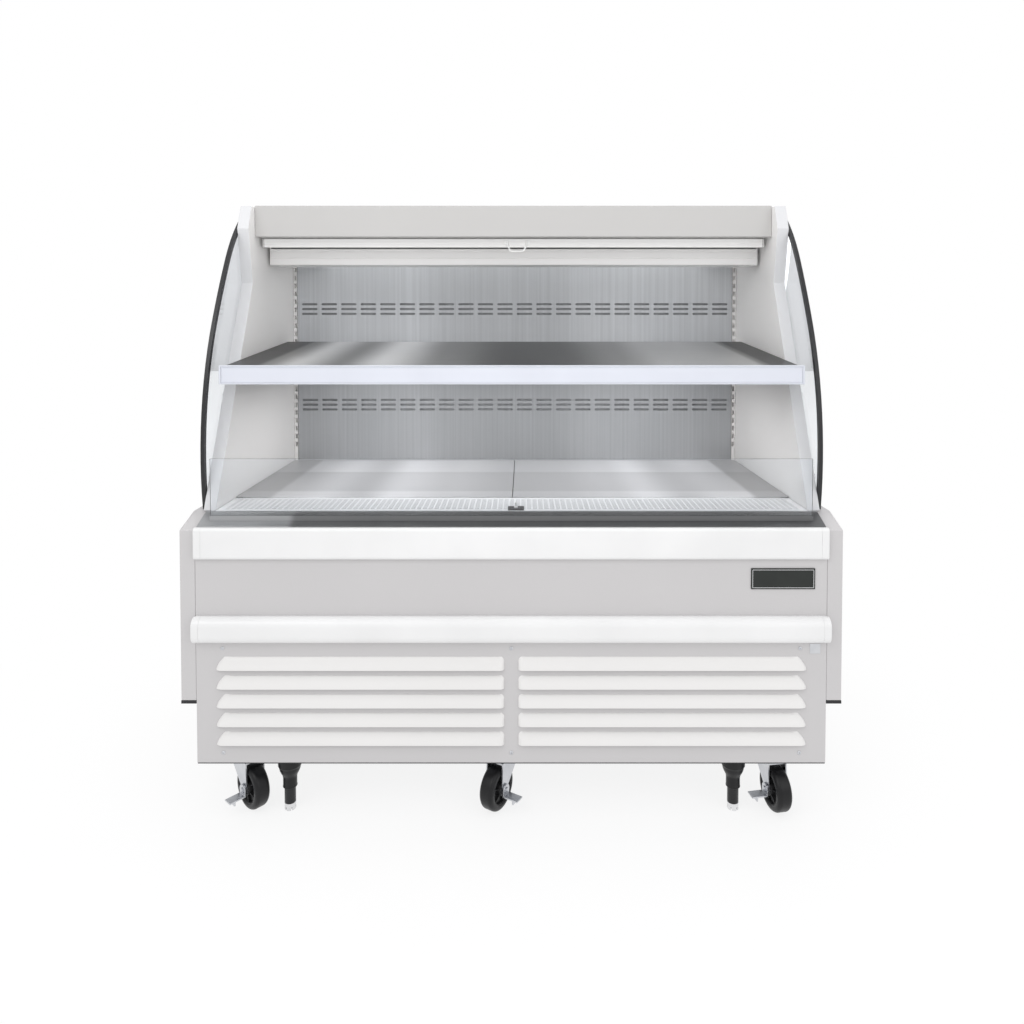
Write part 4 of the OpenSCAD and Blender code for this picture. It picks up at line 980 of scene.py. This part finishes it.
def make_pull_bar():
    body = "curtain_bar"
    low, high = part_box(body)
    y0, y1, z0, z1 = high.y - 16 * MM, high.y, high.z - 24 * MM, high.z
    r, back_r, cap, groove, gasket = 2.2 * MM, 1 * MM, 4 * MM, 0.9 * MM, 1.1 * MM
    z = z0 + 8.4 * MM
    outer = arc(y1 - back_r, z1 - back_r, back_r, 0, 90, 3) + arc(y0 + r, z1 - r, r, 90, 180, 6)
    outer += [(y0, z + 1.5 * MM), (y0 + groove, z + 0.8 * MM), (y0 + groove, z - 0.8 * MM), (y0, z - 1.5 * MM)]
    outer += arc(y0 + r, z0 + r, r, 180, 270, 6) + arc(y1 - back_r, z0 + back_r, back_r, 270, 360, 3)
    bm = bmesh.new()
    bar_x(bm, outer, low.x + cap, high.x - cap)
    finish_piece(bm, "pull_bar", body, "bar_white", replaces=["curtain_bar"])
    ends = ((low.x, low.x + cap - gasket), (high.x - cap + gasket, high.x))
    blocks("pull_bar_caps", body, "bar_white", [((x0, y0, z0), (x1, y1, z1)) for x0, x1 in ends], 1.2 * MM, 3)
    blocks("pull_bar_gaskets", body, "black_trim", [((x, y0 - 0.2 * MM, z0), (x + gasket, y1, z1))
                                                    for x in (low.x + cap - gasket, high.x - cap)], 0.2 * MM)
    bm = bmesh.new()
    x, thick = 10 * MM, 4 * MM
    y = y0 - thick / 2 - 0.05 * MM
    top, low_z = z0 + 13.5 * MM, low.z + 2.6 * MM
    wide, narrow = 29 * MM, 17.5 * MM
    path = [(x - wide, y + 1.4 * MM, top), (x - wide + 1.5 * MM, y, top - 2 * MM),
            (x - narrow - 3.2 * MM, y, low_z + 5.5 * MM), (x - narrow - 0.5 * MM, y, low_z + 1.6 * MM),
            (x - narrow + 4 * MM, y, low_z)]
    path += [(2 * x - px, py, pz) for px, py, pz in reversed(path)]
    smooth = []
    for a, b in zip(path[:-1], path[1:]):
        smooth += [tuple(a[k] + (b[k] - a[k]) * s / 3 for k in range(3)) for s in range(3)]
    smooth.append(path[-1])
    for _ in range(2):
        smooth = [smooth[0]] + [tuple((smooth[i - 1][k] + 2 * smooth[i][k] + smooth[i + 1][k]) / 4 for k in range(3))
                                for i in range(1, len(smooth) - 1)] + [smooth[-1]]
    tube(bm, smooth, 2.5 * MM, 14, flat=0.78)
    for s in (-1, 1):
        block(bm, (x + s * wide - 6 * MM, y0 - 2.4 * MM, top - 4.5 * MM),
              (x + s * wide + 6 * MM, y0 + 0.2 * MM, top + 4 * MM), 1.0 * MM, 3)
    finish_piece(bm, "pull_handle", body, "handle_white", flat=False)


def make_catch():
    low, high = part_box("curtain_catch")
    x = (low.x + high.x) / 2
    base_top = low.z + 2.5 * MM
    bm = bmesh.new()
    block(bm, (low.x, low.y, low.z), (high.x, high.y, base_top), 0.9 * MM, 3)
    for s in (-1, 1):
        lathe(bm, turned([(0.4, -0.5), (3, -0.4), (2.9, 0.2), (1.6, 0.75), (0.4, 0.8)]),
              (x + s * 13 * MM, (low.y + high.y) / 2 - 4 * MM, base_top), (0, 0, 1), sides=20)
    finish_piece(bm, "catch_base", "case", "black_plastic", replaces=["curtain_catch"])
    bm = bmesh.new()
    y = high.y - 12 * MM
    profile = turned([(0.3, 0), (5, 0), (4.6, 1.2), (2.9, 2.2), (2.8, 8.5), (2.95, 10), (2.4, 11.7)])
    lathe(bm, profile + [(0.3 * MM, high.z - base_top)], (x, y, base_top), (0, 0, 1), sides=32)
    finish_piece(bm, "catch_post", "case", "handle_white", slot="black_plastic")


# ---- Top, sides and back ----

def make_shell():
    soften("end_panels", 2.2, 4)
    outer_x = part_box("side_walls")[1].x - 0.3 * MM
    # Side walls: a lighter copy of the wall paint on inner faces and a darker bluish copy on front and outer faces,
    # painted light and shade picked by face direction.
    soften("side_walls", 1.6, 3, ["wall_white", "wall_edge"],
           pick=lambda centre, normal: 1 if normal.y < -0.4 or abs(centre.x) > outer_x else 0)
    for node, width, segments in (("side_glass", 0.9, 3), ("edge_trims", 0.6, 2), ("canopy", 2.0, 4),
                                  ("front_guard", 0.8, 3), ("guard_channel", 0.25, 1), ("back_panel", 1.0, 2),
                                  ("rear_grille", 0.35, 1), ("insulated_tub", 0.8, 2)):
        soften(node, width, segments)
    side_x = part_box("base_frame")[1].x
    soften("base_frame", 0.4, 1, ["galvanised", "white_panel"],
           pick=lambda centre, normal: 1 if abs(centre.x) > side_x - 1.6 * MM else 0)
    make_screws()


def screw(bm, at, axis, radius, height):
    """A domed head with a cross recess, deeper along its four arms."""
    u, v, w = frame_to(axis)
    sides = 32
    turns = [2 * math.pi * i / sides for i in range(sides)]
    cross = [0.16 + 0.34 * abs(math.cos(2 * t)) ** 6 for t in turns]
    dome = ((1.0, 0.0), (1.0, 0.25), (0.93, 0.5), (0.78, 0.78), (0.60, 0.93))
    rings = [([share] * sides, level) for share, level in dome] + [(cross, 1.0), ([c * 0.72 for c in cross], 0.35)]
    loft(bm, [[Vector(at) + (u * math.cos(t) + v * math.sin(t)) * (radius * share) + w * (height * level)
               for t, share in zip(turns, shares)] for shares, level in rings])


def make_screws():
    """The screws and pane clamps stand where the CAD's are."""
    bm = bmesh.new()
    bm.from_mesh(frame["nodes"]["fasteners"].data)
    bmesh.ops.remove_doubles(bm, verts=bm.verts, dist=2e-6)
    spots = []
    for group in islands(bm):
        points = [v.co for f in group for v in f.verts]
        spots.append([[pick(p[k] for p in points) for k in range(3)] for pick in (min, max)])
    bm.free()
    bm = bmesh.new()
    clamps = bmesh.new()
    for low, high in sorted(spots):
        low, high = Vector(low), Vector(high)
        size, mid = high - low, (low + high) / 2
        if size.x < size.y and size.x < size.z:
            s = 1 if mid.x > 0 else -1
            r = size.y / 2
            profile = [(1 * MM, 0), (r - 0.2 * MM, 0), (r, 0.4 * MM), (r, 2.2 * MM), (r - 0.9 * MM, 3.2 * MM),
                       (r - 2 * MM, 3.5 * MM)] + turned([(3.4, 3.4), (3.0, 1.8), (1, 1.8)])
            lathe(clamps, profile, (low.x if s > 0 else high.x, mid.y, mid.z), (s, 0, 0), sides=40)
        else:
            s = 1 if mid.y > 0 else -1
            screw(bm, (mid.x, low.y if s > 0 else high.y, mid.z), (0, s, 0), size.x / 2, size.y)
    finish_piece(bm, "panel_screws", "case", "zinc", replaces=["fasteners"])
    finish_piece(clamps, "pane_clamps", "case", "chrome")


def make_lamp():
    low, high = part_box("lamp")
    soften("lamp", 0.8)
    cap, inset, tall, gap = 3 * MM, 1 * MM, 16 * MM, 0.5 * MM
    ends = [((x, low.y + inset, high.z - tall), (x + cap, high.y - inset, high.z - gap)) for x in (low.x - cap, high.x)]
    blocks("lamp_end_caps", "case", "lamp_white", ends, 0.8 * MM)


# ---- Refrigeration, seen through the slots and with the deck lifted ----

def finned_core(name, low, high, pitch, tubes, overhang):
    count, half = int((high.x - low.x) / pitch), 0.15 * MM
    xs = [low.x + (high.x - low.x) * i / count for i in range(count + 1)]
    blocks(name + "_fins", "case", "coil_fins", [((x - half, low.y, low.z), (x + half, high.y, high.z)) for x in xs],
           flat=False)
    bm = bmesh.new()
    for row in range(tubes):
        z = low.z + (high.z - low.z) * (row + 0.5) / tubes
        for k in (0.3, 0.7):
            y = low.y + (high.y - low.y) * k
            lathe(bm, [(4 * MM, low.x - overhang), (4 * MM, high.x + overhang)], (0, y, z), (1, 0, 0), sides=16)
        for s, x in ((-1, low.x - overhang), (1, high.x + overhang)):
            ya, yb = (low.y + (high.y - low.y) * k for k in (0.3, 0.7))
            r = (yb - ya) / 2
            tube(bm, [(x + s * r * 0.35 * math.sin(t), (ya + yb) / 2 - r * math.cos(t), z)
                      for t in (math.pi * i / 10 for i in range(11))], 4 * MM, 14)
    finish_piece(bm, name + "_tubes", "case", "copper")


def make_compressor():
    low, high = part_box("compressor")
    x, base = (low.x + high.x) / 2, low.z
    y = high.y - 74 * MM
    bm = bmesh.new()
    r = 73.5 * MM
    foot = base + 18 * MM
    profile = [(4 * MM, foot), (r - 24 * MM, foot + 0.5 * MM)]
    profile += [(a, foot + c) for a, c in arc(r - 24 * MM, 24 * MM, 24 * MM, -80, 0, 6)]
    profile += [(r, foot + 66 * MM), (r + 0.5 * MM, foot + 67 * MM), (r + 0.5 * MM, foot + 77 * MM),
                (r, foot + 78 * MM)]
    profile += [(a, foot + c) for a, c in arc(r - 40 * MM, 130 * MM, 40 * MM, 0, 85, 10)] + [(4 * MM, high.z)]
    lathe(bm, profile, (x, y, 0), (0, 0, 1), sides=64)
    block(bm, (x - 95 * MM, y - 60 * MM, foot - 5 * MM), (x + 95 * MM, y + 60 * MM, foot), 1.2 * MM)
    block(bm, (x - 30 * MM, low.y, foot + 30 * MM), (x + 30 * MM, y - 60 * MM, foot + 90 * MM), 4 * MM, 3)
    finish_piece(bm, "compressor_shell", "case", "black_enamel", replaces=["compressor"])
    mount = turned([(4, 0), (12.4, 0), (13, 2), (10.5, 5), (13, 8), (12.4, 13), (4, 13)], base)
    bm = bmesh.new()
    for sx in (-1, 1):
        for sy in (-1, 1):
            lathe(bm, mount, (x + sx * 80 * MM, y + sy * 46 * MM, 0), (0, 0, 1), sides=24, loop=True)
    finish_piece(bm, "compressor_mounts", "case", "caster_rubber")


def make_refrigeration():
    core_low, core_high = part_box("evaporator_coil")
    trim = 10 * MM
    finned_core("evaporator", Vector((core_low.x + trim, core_low.y, core_low.z)),
                Vector((core_high.x - trim, core_high.y, core_high.z)), 5 * MM, 5, 1 * MM)
    soften("evaporator_coil", 0.3, 1)
    soften("condenser", 0.4, 1)
    soften("fan_plate", 0.3, 1)
    for node in ("evaporator_fan_left", "evaporator_fan_right", "condenser_fan"):
        soften(node, 0.5, 2)
    make_compressor()


# ---- Controls at the back ----

def make_controls():
    soften("control_box", 0.7)
    soften("light_switch", 0.5, 3)
    soften("thermostat_knob", 0.8, 3)
    x, _, z = joint_of["thermostat_turn"]["pos_m"]
    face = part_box("thermostat_knob")[0].y - 0.5 * MM
    bm = bmesh.new()
    for k in range(10):
        a = math.radians(90 - 270 * k / 9)
        out = Vector((-math.cos(a), 0, math.sin(a)))
        side = Vector((out.z, 0, -out.x))
        c = Vector((x, face, z))
        inner, outer, half = 22 * MM, (27 if k % 3 == 0 else 25) * MM, 0.45 * MM
        loft(bm, [[c + out * r + side * (s * half) + Vector((0, d, 0)) for s, d in
                   ((-1, -0.1 * MM), (1, -0.1 * MM), (1, 0.25 * MM), (-1, 0.25 * MM))] for r in (inner, outer)])
    finish_piece(bm, "dial_ticks", "case", "black_plastic")
    sx, _, sz = joint_of["light_switch_rock"]["pos_m"]
    sides = ((-14, -11.6, -19, 19), (11.6, 14, -19, 19), (-11.6, 11.6, 16.6, 19), (-11.6, 11.6, -19, -16.6))
    blocks("switch_bezel", "case", "black_plastic",
           [((sx + x0 * MM, face - 0.1 * MM, sz + z0 * MM), (sx + x1 * MM, face + 1.6 * MM, sz + z1 * MM))
            for x0, x1, z0, z1 in sides], 0.3 * MM)


make_camera()
make_studio()
make_floor()
make_front()
make_shell()
make_shelf_and_deck()
make_housing()
make_curtain_roll()
make_curtain_strip()
make_pull_bar()
make_catch()
make_lamp()
make_casters()
make_legs()
make_refrigeration()
make_controls()

for node_name, node in frame["nodes"].items():
    node.data.materials.clear()
    node.data.materials.append(materials[paint_of(node_name)])
